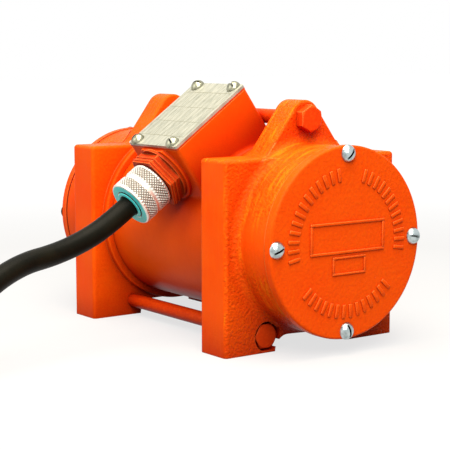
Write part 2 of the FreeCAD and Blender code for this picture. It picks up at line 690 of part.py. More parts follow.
def terminal_gasket():
    """Gasket: the lid's outline with the box's opening cut out."""
    n0, n1 = BOX_RIM, BOX_RIM + BOX_GASKET
    sheet = lid_blank(n0, n1)
    wall = BOX_WALL
    opening = box_between((BOX_X - BOX_HALF_X + wall, BOX_LOW_S + wall, n0 - CUT_PAST),
                          (BOX_X + BOX_HALF_X - wall, BOX_HIGH_S - wall, n1 + CUT_PAST))
    for x, s in lid_screw_places():
        opening = opening.cut(box_column(x, s, n0 - 2 * CUT_PAST, n1 + 2 * CUT_PAST, LID_BOSS_R))
    return box_frame(sheet.cut(opening))


def number8_screw(x, s, seat, length, slot):
    """Number 8 screw square to the lid, its head seated at a height in the box frame."""
    screw = slotted_screw(SCREW8_R, length, SCREW8_HEAD_R, SCREW8_HEAD_H, slot)
    screw.rotate(Vector(0, 0, 0), Vector(0, 1, 0), -90)
    screw.translate(Vector(x, s, seat))
    return box_frame(screw)


def lid_screws():
    """Four screws of the terminal box lid."""
    slots = [65.0, 20.0, -35.0, -30.0]
    screws = []
    for slot, (x, s) in zip(slots, lid_screw_places()):
        screws.append(number8_screw(x, s, BOX_TOP, SCREW8_LENGTH, slot))
    return Part.makeCompound(screws)


# ---------------------------------------------------------------- cord connector
HEX_END = CONN_FLANGE_T + CONN_HEX_L
NUT_START = HEX_END + CONN_NUT_GAP
NUT_END = NUT_START + CONN_NUT_L
NECK_END = HEX_END + CONN_NECK_L
BUSH_START = NECK_END - BUSH_SEAT_L
BUSH_END = NUT_END + BUSH_PROUD


def connector_body():
    """Body screwed into the hub: thread, round flange, hexagon and threaded neck."""
    body = rod(-CONN_THREAD_L, SUNK, CONN_THREAD_R)
    body = body.fuse(rod(0.0, CONN_FLANGE_T, CONN_FLANGE_R))
    body = body.fuse(hexagon(CONN_FLANGE_T - SUNK, HEX_END, CONN_HEX_AF))
    body = body.fuse(rod(HEX_END - SUNK, NECK_END, CONN_NECK_R))
    body = body.cut(rod(-CONN_THREAD_L - CUT_PAST, NECK_END + CUT_PAST, CONN_BORE_R))
    body = body.cut(rod(BUSH_START, NECK_END + CUT_PAST, BUSH_SEAT_R))
    return gland_frame(body.removeSplitter())


def connector_nut():
    """Compression nut over the neck, with a rounded mouth for the bush."""
    nut = rod(NUT_START, NUT_END, CONN_NUT_R)
    nut = nut.makeChamfer(CONN_NUT_EDGE, edges_in_plane_x(nut, NUT_START)
                          + edges_in_plane_x(nut, NUT_END))
    nut = nut.cut(rod(NUT_START - CUT_PAST, NUT_END - CONN_NUT_FACE, CONN_NECK_R + CONN_THREAD_GAP))
    nut = nut.cut(rod(NUT_START, NUT_END + CUT_PAST, CONN_NUT_MOUTH_R))
    return gland_frame(nut)


def connector_bush():
    """Rubber bush squeezed round the cord inside the nut."""
    seat_r = BUSH_SEAT_R - BUSH_WALL_GAP
    mouth_r = CONN_NUT_MOUTH_R - BUSH_WALL_GAP
    face = NUT_END - CONN_NUT_FACE - BUSH_WALL_GAP
    bush = turned([(BUSH_START, CORD_R), (BUSH_START, seat_r), (face, seat_r),
                   (face, mouth_r), (BUSH_END, mouth_r), (BUSH_END, CORD_R)])
    return gland_frame(bush)


def cord_inner_end():
    """Cord's own end, gripped by the bush and reaching into the terminal box."""
    return gland_frame(rod(-CORD_INSIDE, BUSH_END, CORD_R))


# ---------------------------------------------------------------- leads in the terminal box
JACKET_END_S = HUB_FACE_S + CORD_INSIDE
SPLICE_N = BOX_FLOOR + SPLICE_R
BARREL_N = BOX_FLOOR + EARTH_BARREL_R
BARREL_END_S = EARTH_S - EARTH_BARREL_GAP


def splice_x(index):
    """Middle of one splice along the shaft: 0 is the line's and 1 the neutral's."""
    return BOX_X - BOX_HALF_X + BOX_WALL + SPLICE_WALL_GAP + SPLICE_R + SPLICE_PITCH * index


def lead(points, radius=LEAD_R):
    """Insulated wire along a path of (x, s, n) points in the box frame."""
    wire, length, radii = tangent_path([Vector(*p) for p in points])
    heading = Vector(*points[1]).sub(Vector(*points[0]))
    section = Part.Wire([Part.makeCircle(radius, Vector(*points[0]), heading)])
    return box_frame(wire.makePipeShell([section], True, True))


def jacket_point(index):
    """Middle of one conductor at the jacket's end: line, neutral or earth."""
    angle = math.radians(210 - 120 * index)
    return (BOX_X + SUPPLY_LEAD_RING_R * math.cos(angle), JACKET_END_S,
            HUB_N + SUPPLY_LEAD_RING_R * math.sin(angle))


def supply_lead(index):
    """Conductor from the jacket's end down into its splice on the floor."""
    x0, s0, n0 = jacket_point(index)
    x1 = splice_x(index)
    return lead([(x0, s0, n0), (x0, s0 + SUPPLY_LEAD_STRAIGHT, n0),
                 (x1, SPLICE_S - SUPPLY_LEAD_STRAIGHT, SPLICE_N),
                 (x1, SPLICE_S + SPLICE_MOUTH_L, SPLICE_N)])


def earth_lead():
    """Earth conductor from the jacket's end into the ring terminal's barrel."""
    x0, s0, n0 = jacket_point(2)
    x1 = BOX_X + EARTH_X
    barrel = BARREL_END_S - EARTH_BARREL_L
    return lead([(x0, s0, n0), (x0, s0 + SUPPLY_LEAD_STRAIGHT, n0),
                 (x1, barrel - EARTH_LEAD_STRAIGHT, BARREL_N),
                 (x1, barrel + EARTH_BARREL_BORE_L, BARREL_N)])


def motor_leads():
    """Two leads from the splices, up over each other and down the hole to the end turns."""
    crest = BOX_HIGH_S - BOX_WALL - MOTOR_LEAD_WALL_GAP - LEAD_R
    end = SPLICE_S + SPLICE_L
    leads = []
    for index in (0, 1):
        x = splice_x(index)
        height = SPLICE_N + MOTOR_LEAD_STACK * (2 - index)
        turn = crest - MOTOR_LEAD_PITCH * index
        drop = LEAD_HOLE_S + MOTOR_LEAD_PITCH * (index - 0.5)
        leads.append(lead([(x, end - SPLICE_MOUTH_L, SPLICE_N),
                           (x, end + MOTOR_LEAD_STRAIGHT, SPLICE_N),
                           (x, turn, height), (LEAD_HOLE_X, turn, height),
                           (LEAD_HOLE_X, drop, height), (LEAD_HOLE_X, drop, END_TURN_R - SUNK)]))
    core = rod(0, 2 * LEAD_HOLE_X, END_TURN_R)
    return Part.makeCompound([piece.cut(core) for piece in leads])


def lead_splices():
    """Two crimped sleeves that join the supply's conductors to the motor's leads."""
    sleeves = []
    for index in (0, 1):
        x = splice_x(index)
        sleeve = Part.makeCylinder(SPLICE_R, SPLICE_L, Vector(x, SPLICE_S, SPLICE_N),
                                   Vector(0, 1, 0))
        rims = [e for e in sleeve.Edges if e.Curve.TypeId == "Part::GeomCircle"]
        sleeve = sleeve.makeChamfer(SPLICE_EDGE, rims)
        for mouth in (SPLICE_S, SPLICE_S + SPLICE_L - SPLICE_MOUTH_L):
            bore = Part.makeCylinder(LEAD_R + SPLICE_CLEARANCE, SPLICE_MOUTH_L,
                                     Vector(x, mouth, SPLICE_N), Vector(0, 1, 0))
            sleeve = sleeve.cut(bore)
        sleeves.append(box_frame(sleeve))
    return Part.makeCompound(sleeves)


def earth_terminal():
    """Ring terminal under the earth screw, with a crimp barrel for the conductor."""
    x, top = BOX_X + EARTH_X, BOX_FLOOR + EARTH_RING_T
    barrel_start = BARREL_END_S - EARTH_BARREL_L
    plate = box_column(x, EARTH_S, BOX_FLOOR, top, EARTH_RING_R)
    tongue = box_between((x - EARTH_TONGUE_HALF_W, BARREL_END_S - SUNK, BOX_FLOOR),
                         (x + EARTH_TONGUE_HALF_W, EARTH_S, top))
    barrel = Part.makeCylinder(EARTH_BARREL_R, EARTH_BARREL_L, Vector(x, barrel_start, BARREL_N),
                               Vector(0, 1, 0))
    bore = Part.makeCylinder(LEAD_R + SPLICE_CLEARANCE, EARTH_BARREL_BORE_L,
                             Vector(x, barrel_start, BARREL_N), Vector(0, 1, 0))
    hole = box_column(x, EARTH_S, BOX_FLOOR - CUT_PAST, top + CUT_PAST, SCREW8_R + SCREW_CLEARANCE)
    return box_frame(plate.multiFuse([tongue, barrel]).cut(bore).cut(hole).removeSplitter())


def earth_screw():
    """Screw that clamps the ring terminal to the box's floor."""
    return number8_screw(BOX_X + EARTH_X, EARTH_S, BOX_FLOOR + EARTH_RING_T, EARTH_SCREW_LENGTH,
                         EARTH_SLOT_TURN)


# ---------------------------------------------------------------- stator
def stator_core():
    """Laminated core with half-closed slots."""
    bore = ROTOR_CORE_R + AIR_GAP
    core = ring(-CORE_HALF_L, CORE_HALF_L, bore, SHELL_BORE_R)
    slots = []
    for index in range(SLOT_COUNT):
        slots.append(about_x(slot_prism(bore, 0.0, CORE_HALF_L + CUT_PAST), 360 / SLOT_COUNT * index))
    return core.cut(Part.makeCompound(slots))


def slot_prism(bore, shrink, half_length):
    """One slot's space: a mouth and a deep parallel slot, or its filling with a liner gap."""
    half = SLOT_W / 2 - shrink
    roof = bore + SLOT_ROOF + shrink
    bottom = bore + SLOT_ROOF + SLOT_DEPTH - shrink
    slot = box_between((-half_length, -half, roof), (half_length, half, bottom))
    if shrink > 0:
        return slot
    mouth = box_between((-half_length, -SLOT_MOUTH_W / 2, bore - 2 * CUT_PAST),
                        (half_length, SLOT_MOUTH_W / 2, roof + CUT_PAST))
    return slot.fuse(mouth)


def stator_winding():
    """Coil sides in the slots joined by a round bundle of end turns at each end."""
    bore = ROTOR_CORE_R + AIR_GAP
    r_in = bore + SLOT_ROOF + SLOT_LINER
    start = CORE_HALF_L + END_TURN_CORE_GAP
    bundle = ring(start, start + END_TURN_L, r_in, END_TURN_R)
    bundle = bundle.makeFillet(END_TURN_ROUND, edges_in_plane_x(bundle, start + END_TURN_L))
    pieces = [bundle, mirrored(bundle)]
    for index in range(SLOT_COUNT):
        side = slot_prism(bore, SLOT_LINER, start + SUNK)
        pieces.append(about_x(side, 360 / SLOT_COUNT * index))
    return pieces[0].multiFuse(pieces[1:])


# ---------------------------------------------------------------- rotor
FRONT_BEARING = LIP_X - BEARING_WIDTH
REAR_BEARING = -(LIP_X - PRELOAD_WASHER)
WEIGHT_START = FLOOR_X + WEIGHT_FLOOR_GAP
WEIGHT_END = WEIGHT_START + WEIGHT_THICK
NUT_SEAT = WEIGHT_END + WEIGHT_WASHER_T
SHAFT_TIP = NUT_SEAT + WEIGHT_NUT_H + SHAFT_END_PROUD


def rotor_shaft():
    """Stepped shaft with bearing journals, weight seats, keyways and threaded ends."""
    front, rear = FRONT_BEARING, REAR_BEARING + BEARING_WIDTH
    c = SHAFT_CHAMFER
    half = [(SHAFT_COLLAR_X, SHAFT_CORE_R), (SHAFT_COLLAR_X, SHAFT_BODY_R),
            (front, SHAFT_BODY_R), (front, BEARING_BORE_R)]
    journal_end = FRONT_BEARING + BEARING_WIDTH - JOURNAL_STEP
    seat_end = WEIGHT_END - SHAFT_STEP_GAP
    half += [(journal_end, BEARING_BORE_R), (journal_end, WEIGHT_SEAT_R),
             (seat_end, WEIGHT_SEAT_R), (seat_end, SHAFT_END_R),
             (SHAFT_TIP - c, SHAFT_END_R), (SHAFT_TIP, SHAFT_END_R - c), (SHAFT_TIP, 0)]
    back_end = REAR_BEARING + JOURNAL_STEP
    back = [(-SHAFT_TIP, 0), (-SHAFT_TIP, SHAFT_END_R - c), (-SHAFT_TIP + c, SHAFT_END_R),
            (-seat_end, SHAFT_END_R), (-seat_end, WEIGHT_SEAT_R),
            (back_end, WEIGHT_SEAT_R), (back_end, BEARING_BORE_R), (rear, BEARING_BORE_R),
            (rear, SHAFT_BODY_R), (-SHAFT_COLLAR_X, SHAFT_BODY_R), (-SHAFT_COLLAR_X, SHAFT_CORE_R)]
    shaft = turned(back + half)
    for side in (1, -1):
        shaft = shaft.cut(key_space(side))
    return shaft


def key_space(side):
    """One key, centred in its weight: side 1 is the front one and -1 the rear one."""
    middle = side * (WEIGHT_START + WEIGHT_END) / 2
    half_l = KEY_L / 2
    floor = WEIGHT_SEAT_R - KEY_H / 2
    return box_between((middle - half_l, -KEY_W / 2, floor),
                       (middle + half_l, KEY_W / 2, floor + KEY_H))


def rotor_core():
    """Laminated rotor core with bar holes."""
    core = ring(-CORE_HALF_L, CORE_HALF_L, SHAFT_CORE_R, ROTOR_CORE_R)
    holes = []
    for index in range(ROTOR_BAR_COUNT):
        hole = rod(-CORE_HALF_L - CUT_PAST, CORE_HALF_L + CUT_PAST, ROTOR_BAR_R, 0,
                   ROTOR_BAR_CIRCLE_R)
        holes.append(about_x(hole, 360 / ROTOR_BAR_COUNT * index))
    return core.cut(Part.makeCompound(holes))


def rotor_cage():
    """Die-cast cage: bars, end rings and short fan blades, in one piece."""
    rim = ROTOR_CORE_R - END_RING_DRAFT
    end = ring(CORE_HALF_L, CORE_HALF_L + END_RING_L, END_RING_IN_R, rim)
    pieces = [end, mirrored(end)]
    for index in range(ROTOR_BAR_COUNT):
        bar = rod(-CORE_HALF_L - SUNK, CORE_HALF_L + SUNK, ROTOR_BAR_R, 0, ROTOR_BAR_CIRCLE_R)
        pieces.append(about_x(bar, 360 / ROTOR_BAR_COUNT * index))
    root = CORE_HALF_L + END_RING_L
    for index in range(FAN_BLADE_COUNT):
        blade = box_between((root - SUNK, -FAN_BLADE_T / 2, END_RING_IN_R + FAN_BLADE_INSET),
                            (root + FAN_BLADE_L, FAN_BLADE_T / 2, rim - FAN_BLADE_INSET))
        blade = about_x(blade, 360 / FAN_BLADE_COUNT * index)
        pieces += [blade, mirrored(blade)]
    return pieces[0].multiFuse(pieces[1:])


def eccentric_weight(boss_start):
    """Front weight: hub and half disc below the shaft, with a boss that reaches the bearing."""
    hub = rod(WEIGHT_START, WEIGHT_END, WEIGHT_HUB_R)
    disc = rod(WEIGHT_START, WEIGHT_END, WEIGHT_R)
    below = box_between((WEIGHT_START, -WEIGHT_R, -WEIGHT_R),
                        (WEIGHT_END, WEIGHT_R, -WEIGHT_CUT_DROP))
    lobe = disc.common(below)
    weight = hub.fuse(lobe)
    corners = [e for e in edges_along_x(weight)
               if abs(e.CenterOfMass.z + WEIGHT_CUT_DROP) < SAME
               and abs(e.CenterOfMass.y) < WEIGHT_HUB_R + SUNK]
    weight = weight.makeFillet(WEIGHT_NECK_R, corners)
    weight = weight.fuse(rod(boss_start, WEIGHT_START + SUNK, WEIGHT_BOSS_R))
    weight = weight.cut(rod(boss_start - CUT_PAST, WEIGHT_END + CUT_PAST, WEIGHT_SEAT_R))
    middle = (WEIGHT_START + WEIGHT_END) / 2
    keyway = box_between((middle - KEY_L / 2, -KEY_W / 2, 0),
                         (WEIGHT_END + CUT_PAST, KEY_W / 2, WEIGHT_SEAT_R + KEY_H / 2 + KEY_TOP_GAP))
    return weight.cut(keyway).removeSplitter()


def weight_washer():
    """Washer between a weight and its nut."""
    return ring(WEIGHT_END, NUT_SEAT, SHAFT_END_R + THREAD_CLEARANCE, WEIGHT_WASHER_R)


def weight_nut():
    """Nut that clamps a weight on the shaft's end."""
    end = NUT_SEAT + WEIGHT_NUT_H
    nut = hexagon(NUT_SEAT, end, WEIGHT_NUT_AF)
    return nut.cut(rod(NUT_SEAT - CUT_PAST, end + CUT_PAST, SHAFT_END_R + THREAD_CLEARANCE))


# ---------------------------------------------------------------- ball bearing
def ball_track(middle):
    """Ring-shaped space that the balls roll in."""
    return Part.makeTorus(BALL_PITCH_R, BALL_R + BALL_CLEARANCE, Vector(middle, 0, 0),
                          Vector(1, 0, 0))


def bearing(start):
    """Deep-groove bearing from its left face: outer race, inner race, balls and cage."""
    middle = start + BEARING_WIDTH / 2
    end = start + BEARING_WIDTH
    outer = ring(start, end, OUTER_RACE_R, BEARING_OUTER_R)
    inner = ring(start, end, BEARING_BORE_R, INNER_RACE_R)
    track = ball_track(middle)
    balls, pockets = [], []
    for index in range(BALL_COUNT):
        centre = Vector(middle, 0, BALL_PITCH_R)
        angle = 360 / BALL_COUNT * index
        balls.append(about_x(Part.makeSphere(BALL_R, centre), angle))
        pockets.append(about_x(Part.makeSphere(BALL_R + CAGE_POCKET_CLEARANCE, centre), angle))
    half = BALL_R + CAGE_SIDE_WALL
    cage = ring(middle - half, middle + half, CAGE_IN_R, CAGE_OUT_R)
    cage = cage.cut(Part.makeCompound(pockets))
    return outer.cut(track), inner.cut(track), Part.makeCompound(balls), cage


def preload_washer():
    """Spring washer between the rear bearing's outer race and its lip."""
    return ring(-LIP_X, -LIP_X + PRELOAD_WASHER, BEARING_LIP_BORE_R + PRELOAD_WASHER_BORE_GAP,
                BEARING_OUTER_R - PRELOAD_WASHER_RIM_GAP)


# ---------------------------------------------------------------- supply cord
def tangent_path(points):
    """Straight runs joined by tangent arcs; returns the wire, its length and the arc radii."""
    edges, radii = [], []
    start = points[0]
    for index in range(1, len(points) - 1):
        before = points[index].sub(points[index - 1])
        after = points[index + 1].sub(points[index])
        half_turn = before.getAngle(after) / 2
        setback = 0.45 * min(before.Length, after.Length)
        radii.append(setback / math.tan(half_turn))
        before.normalize()
        after.normalize()
        corner = points[index]
        enter = corner.sub(before * setback)
        leave = corner.add(after * setback)
        inward = after.sub(before)
        inward.normalize()
        reach = radii[-1] / math.cos(half_turn) - radii[-1]
        edges.append(line(start, enter))
        edges.append(arc(enter, corner.add(inward * reach), leave))
        start = leave
    edges.append(line(start, points[-1]))
    wire = Part.Wire(edges)
    return wire, wire.Length, radii


def cord_tube(points, label):
    """Round cord along a path, with its length and bend radii printed."""
    wire, length, radii = tangent_path(points)
    heading = points[1].sub(points[0])
    section = Part.Wire([Part.makeCircle(CORD_R, points[0], heading)])
    tube = wire.makePipeShell([section], True, True)
    expected = math.pi * CORD_R ** 2 * length
    print("%s: length %.1f, volume ratio %.4f, smallest radius %.1f (%s)" % (
        label, length, tube.Volume / expected, min(radii), ", ".join("%.0f" % r for r in radii)))
    return tube


def gland_point(distance):
    """Point on the connector axis, a distance out from the hub's face, in the standing frame."""
    s = HUB_FACE_S - distance
    return Vector(BOX_X, s * math.cos(TILT) - HUB_N * math.sin(TILT),
                  s * math.sin(TILT) + HUB_N * math.cos(TILT) + AXIS_HEIGHT)


def supply_cord():
    """Cord from the bush's mouth down to the coil."""
    points = [gland_point(BUSH_END), gland_point(BUSH_END + CORD_FIRST_RUN)]
    points += [Vector(*p) for p in CORD_ROUTE]
    return cord_tube(points, "supply cord")


def cord_tail():
    """Cord from the coil to the plug."""
    return cord_tube([Vector(*p) for p in TAIL_ROUTE], "cord tail")


def cord_coil():
    """Outer shape of the stowed turns, two layers high, with room where the ends join it."""
    centre_x = COIL_ENTRY[0] - COIL_OUTER_TURN_R
    centre = Vector(centre_x, COIL_ENTRY[1], 0)
    r_out = COIL_OUTER_TURN_R + CORD_R + COIL_SLACK
    r_in = COIL_OUTER_TURN_R - COIL_TURN_GAP - CORD_R - COIL_SLACK
    height = 2 * CORD_R + COIL_TURN_GAP
    coil = Part.makeCylinder(r_out, height, centre).cut(Part.makeCylinder(r_in, height, centre))
    rims = [e for e in coil.Edges if e.Curve.TypeId == "Part::GeomCircle"]
    coil = coil.makeFillet(COIL_EDGE_R, rims)
    middle = height / 2
    room = CORD_R + COIL_SLACK
    entry = box_between((COIL_ENTRY[0] - room, COIL_ENTRY[1], middle),
                        (COIL_ENTRY[0] + 2 * room, COIL_ENTRY[1] + r_out, height + CUT_PAST))
    exit_x = centre_x - COIL_OUTER_TURN_R
    leave = box_between((exit_x - 2 * room, COIL_ENTRY[1], -CUT_PAST),
                        (exit_x + room, COIL_ENTRY[1] + r_out, middle))
    return coil.cut(entry).cut(leave).removeSplitter()


# ---------------------------------------------------------------- plug
def plug_frame(shape):
    """Move a shape made along +Y from the origin to the end of the cord's tail."""
    placed = shape.copy()
    placed.translate(Vector(*TAIL_ROUTE[-1]))
    return placed


def cord_plug():
    """Moulded plug body with a tapered sleeve."""
    sleeve = Part.makeCone(PLUG_SLEEVE_R0, PLUG_SLEEVE_R1, PLUG_SLEEVE_L + SUNK,
                           Vector(0, 0, 0), Vector(0, 1, 0))
    body = box_between((-PLUG_BODY_HALF_W, PLUG_SLEEVE_L, -PLUG_BODY_HALF_H),
                       (PLUG_BODY_HALF_W, PLUG_SLEEVE_L + PLUG_BODY_L, PLUG_BODY_HALF_H))
    long_edges = edges_parallel(body, Vector(0, 1, 0))
    back = [e for e in body.Edges if e.BoundBox.YMax < PLUG_SLEEVE_L + SAME]
    body = body.makeFillet(PLUG_BODY_EDGE_R, long_edges + back)
    plug = body.fuse(sleeve)
    for blade in blade_shapes():
        plug = plug.cut(blade)
    return plug_frame(plug.removeSplitter())


def blade_shapes():
    """Two flat blades and a round earth pin, rooted in the plug's face."""
    face = PLUG_SLEEVE_L + PLUG_BODY_L
    blades = []
    for side in (1, -1):
        x = side * BLADE_HALF_SPACING
        blades.append(box_between((x - BLADE_T / 2, face - BLADE_ROOT_L, BLADE_LIFT - BLADE_W / 2),
                                  (x + BLADE_T / 2, face + BLADE_L, BLADE_LIFT + BLADE_W / 2)))
    pin = Part.makeCylinder(EARTH_PIN_R, BLADE_L + BLADE_ROOT_L,
                            Vector(0, face - BLADE_ROOT_L, -EARTH_PIN_DROP), Vector(0, 1, 0))
    blades.append(pin)
    return blades


# ---------------------------------------------------------------- output
def export_node(name, shape, lift=AXIS_HEIGHT):
    """Write one node, lifted so that the feet stand on Z = 0."""
    placed = shape.copy()
    placed.translate(Vector(0, 0, lift))
    if not placed.isValid():
        print("invalid shape:", name)
    placed.exportStep("parts/%s.step" % name)


def main():
    os.makedirs("parts", exist_ok=True)
    export_node("front_end_housing", end_housing(TIE_R + TIE_HOLE_CLEARANCE))
    export_node("rear_end_housing", mirrored(end_housing(TIE_R + THREAD_CLEARANCE)))
    for end, place in (("front", lambda shape: shape), ("rear", mirrored)):
        export_node(end + "_cover", place(cover()))
        export_node(end + "_cover_gasket", place(cover_gasket()))
        export_node(end + "_cover_screws", place(cover_screws()))
        boss_start = LIP_X if end == "front" else LIP_X - PRELOAD_WASHER
        export_node(end + "_eccentric_weight", place(eccentric_weight(boss_start)))
        export_node(end + "_weight_key", key_space(1 if end == "front" else -1))
        export_node(end + "_weight_washer", place(weight_washer()))
        export_node(end + "_weight_nut", place(weight_nut()))
        races = bearing(FRONT_BEARING if end == "front" else REAR_BEARING)
        for label, shape in zip(("outer_race", "inner_race", "balls", "cage"), races):
            export_node("%s_bearing_%s" % (end, label), shape)
    export_node("bearing_preload_washer", preload_washer())
    export_node("tie_bolts", tie_bolts())
    export_node("stator_shell", stator_shell())
    export_node("stator_core", stator_core())
    export_node("stator_winding", stator_winding())
    export_node("rotor_shaft", rotor_shaft())
    export_node("rotor_core", rotor_core())
    export_node("rotor_cage", rotor_cage())
    export_node("terminal_box_gasket", terminal_gasket())
    export_node("terminal_box_lid", terminal_lid())
    export_node("terminal_box_lid_screws", lid_screws())
    export_node("supply_line_lead", supply_lead(0))
    export_node("supply_neutral_lead", supply_lead(1))
    export_node("supply_earth_lead", earth_lead())
    export_node("motor_leads", motor_leads())
    export_node("lead_splices", lead_splices())
    export_node("earth_terminal", earth_terminal())
    export_node("earth_screw", earth_screw())
    export_node("cord_connector_body", connector_body())
    export_node("cord_connector_nut", connector_nut())
    export_node("cord_connector_bush", connector_bush())
    export_node("cord_inner_end", cord_inner_end())
    export_node("supply_cord", supply_cord(), 0.0)
    export_node("cord_coil", cord_coil(), 0.0)
    export_node("cord_tail", cord_tail(), 0.0)
    export_node("cord_plug", cord_plug(), 0.0)
    export_node("plug_blades", plug_frame(Part.makeCompound(blade_shapes())), 0.0)


main()
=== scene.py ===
import logging
import math
from dataclasses import dataclass, field
from enum import Enum

import bmesh
import bpy
from mathutils import Matrix, Vector


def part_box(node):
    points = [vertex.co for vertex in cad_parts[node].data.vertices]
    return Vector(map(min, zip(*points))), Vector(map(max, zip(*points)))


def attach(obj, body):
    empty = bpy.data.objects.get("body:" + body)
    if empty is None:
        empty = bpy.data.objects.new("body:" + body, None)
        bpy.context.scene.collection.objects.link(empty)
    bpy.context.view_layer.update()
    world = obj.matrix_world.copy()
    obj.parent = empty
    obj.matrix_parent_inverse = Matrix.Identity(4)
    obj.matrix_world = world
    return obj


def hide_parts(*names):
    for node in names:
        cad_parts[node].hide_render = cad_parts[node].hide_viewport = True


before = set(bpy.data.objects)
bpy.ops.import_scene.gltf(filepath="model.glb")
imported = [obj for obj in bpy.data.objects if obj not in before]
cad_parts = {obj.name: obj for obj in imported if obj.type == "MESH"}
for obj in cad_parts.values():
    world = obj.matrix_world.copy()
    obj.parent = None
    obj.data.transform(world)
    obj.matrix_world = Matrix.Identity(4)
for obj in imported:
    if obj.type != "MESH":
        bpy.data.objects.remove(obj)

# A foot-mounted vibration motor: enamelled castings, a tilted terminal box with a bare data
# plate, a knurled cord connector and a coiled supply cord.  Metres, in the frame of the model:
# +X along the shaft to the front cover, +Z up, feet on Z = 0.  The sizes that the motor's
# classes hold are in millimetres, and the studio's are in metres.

LOG = logging.getLogger("vibration_motor")
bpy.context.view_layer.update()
MM = 0.001
SAME = 1e-6                        # places nearer than this are one place
BOX_TILT = math.radians(35.6)      # lean of the terminal box about the shaft
CARRIER = "frame"                  # the body that every piece made here rides on
WAVE_REPEAT = math.tau / 20        # length of one band of a wave texture at a scale of 1
Source = bpy.types.Node | bpy.types.NodeSocket     # what a link may start from


# ---------------------------------------------------------------- colours and nodes
def linear(code: str) -> tuple[float, float, float, float]:
    """Turn an sRGB hex colour into the linear colour that a shader takes.

    Args:
        code: Six hex digits after a hash, such as "#FF560C".

    Returns:
        Red, green, blue and an alpha of one.
    """
    shares = [int(code[i:i + 2], 16) / 255 for i in (1, 3, 5)]
    straight = [c / 12.92 if c <= 0.04045 else ((c + 0.055) / 1.055) ** 2.4 for c in shares]
    return (*straight, 1.0)


def add(tree: bpy.types.NodeTree, kind: str, values: dict | None = None,
        links: dict | None = None, **settings: object) -> bpy.types.Node:
    """Add one node with its settings, its socket values and its links.

    Args:
        tree: The node tree that gets the node.
        kind: Blender's name for the node's type.
        values: Values by input name or index.
        links: Output sockets, or nodes for their first output in use, by input name or index.
        settings: Attributes of the node itself.

    Returns:
        The new node.
    """
    made = tree.nodes.new(kind)
    for name, value in settings.items():
        setattr(made, name, value)
    for key, value in (values or {}).items():
        made.inputs[key].default_value = value
    for key, source in (links or {}).items():
        if isinstance(source, bpy.types.Node):
            source = next(out for out in source.outputs if out.enabled)
        tree.links.new(source, made.inputs[key])
    return made


def per_metre(millimetres: float) -> float:
    """Return the texture scale that gives features of a size in millimetres."""
    return 1.0 / (millimetres * MM)


# ---------------------------------------------------------------- finishes
@dataclass(frozen=True)
class Finish:
    """A surface finish that builds one procedural material."""

    name: str

    def build(self) -> bpy.types.Material:
        """Make the material.

        Returns:
            The material, named for the finish.
        """
        material = bpy.data.materials.new(self.name)
        material.use_nodes = True
        tree = material.node_tree
        tree.nodes.clear()
        add(tree, "ShaderNodeOutputMaterial", links={"Surface": self.surface(tree)})
        return material

    def surface(self, tree: bpy.types.NodeTree) -> Source:
        """Build the shader in a node tree; each finish has its own."""
        raise NotImplementedError


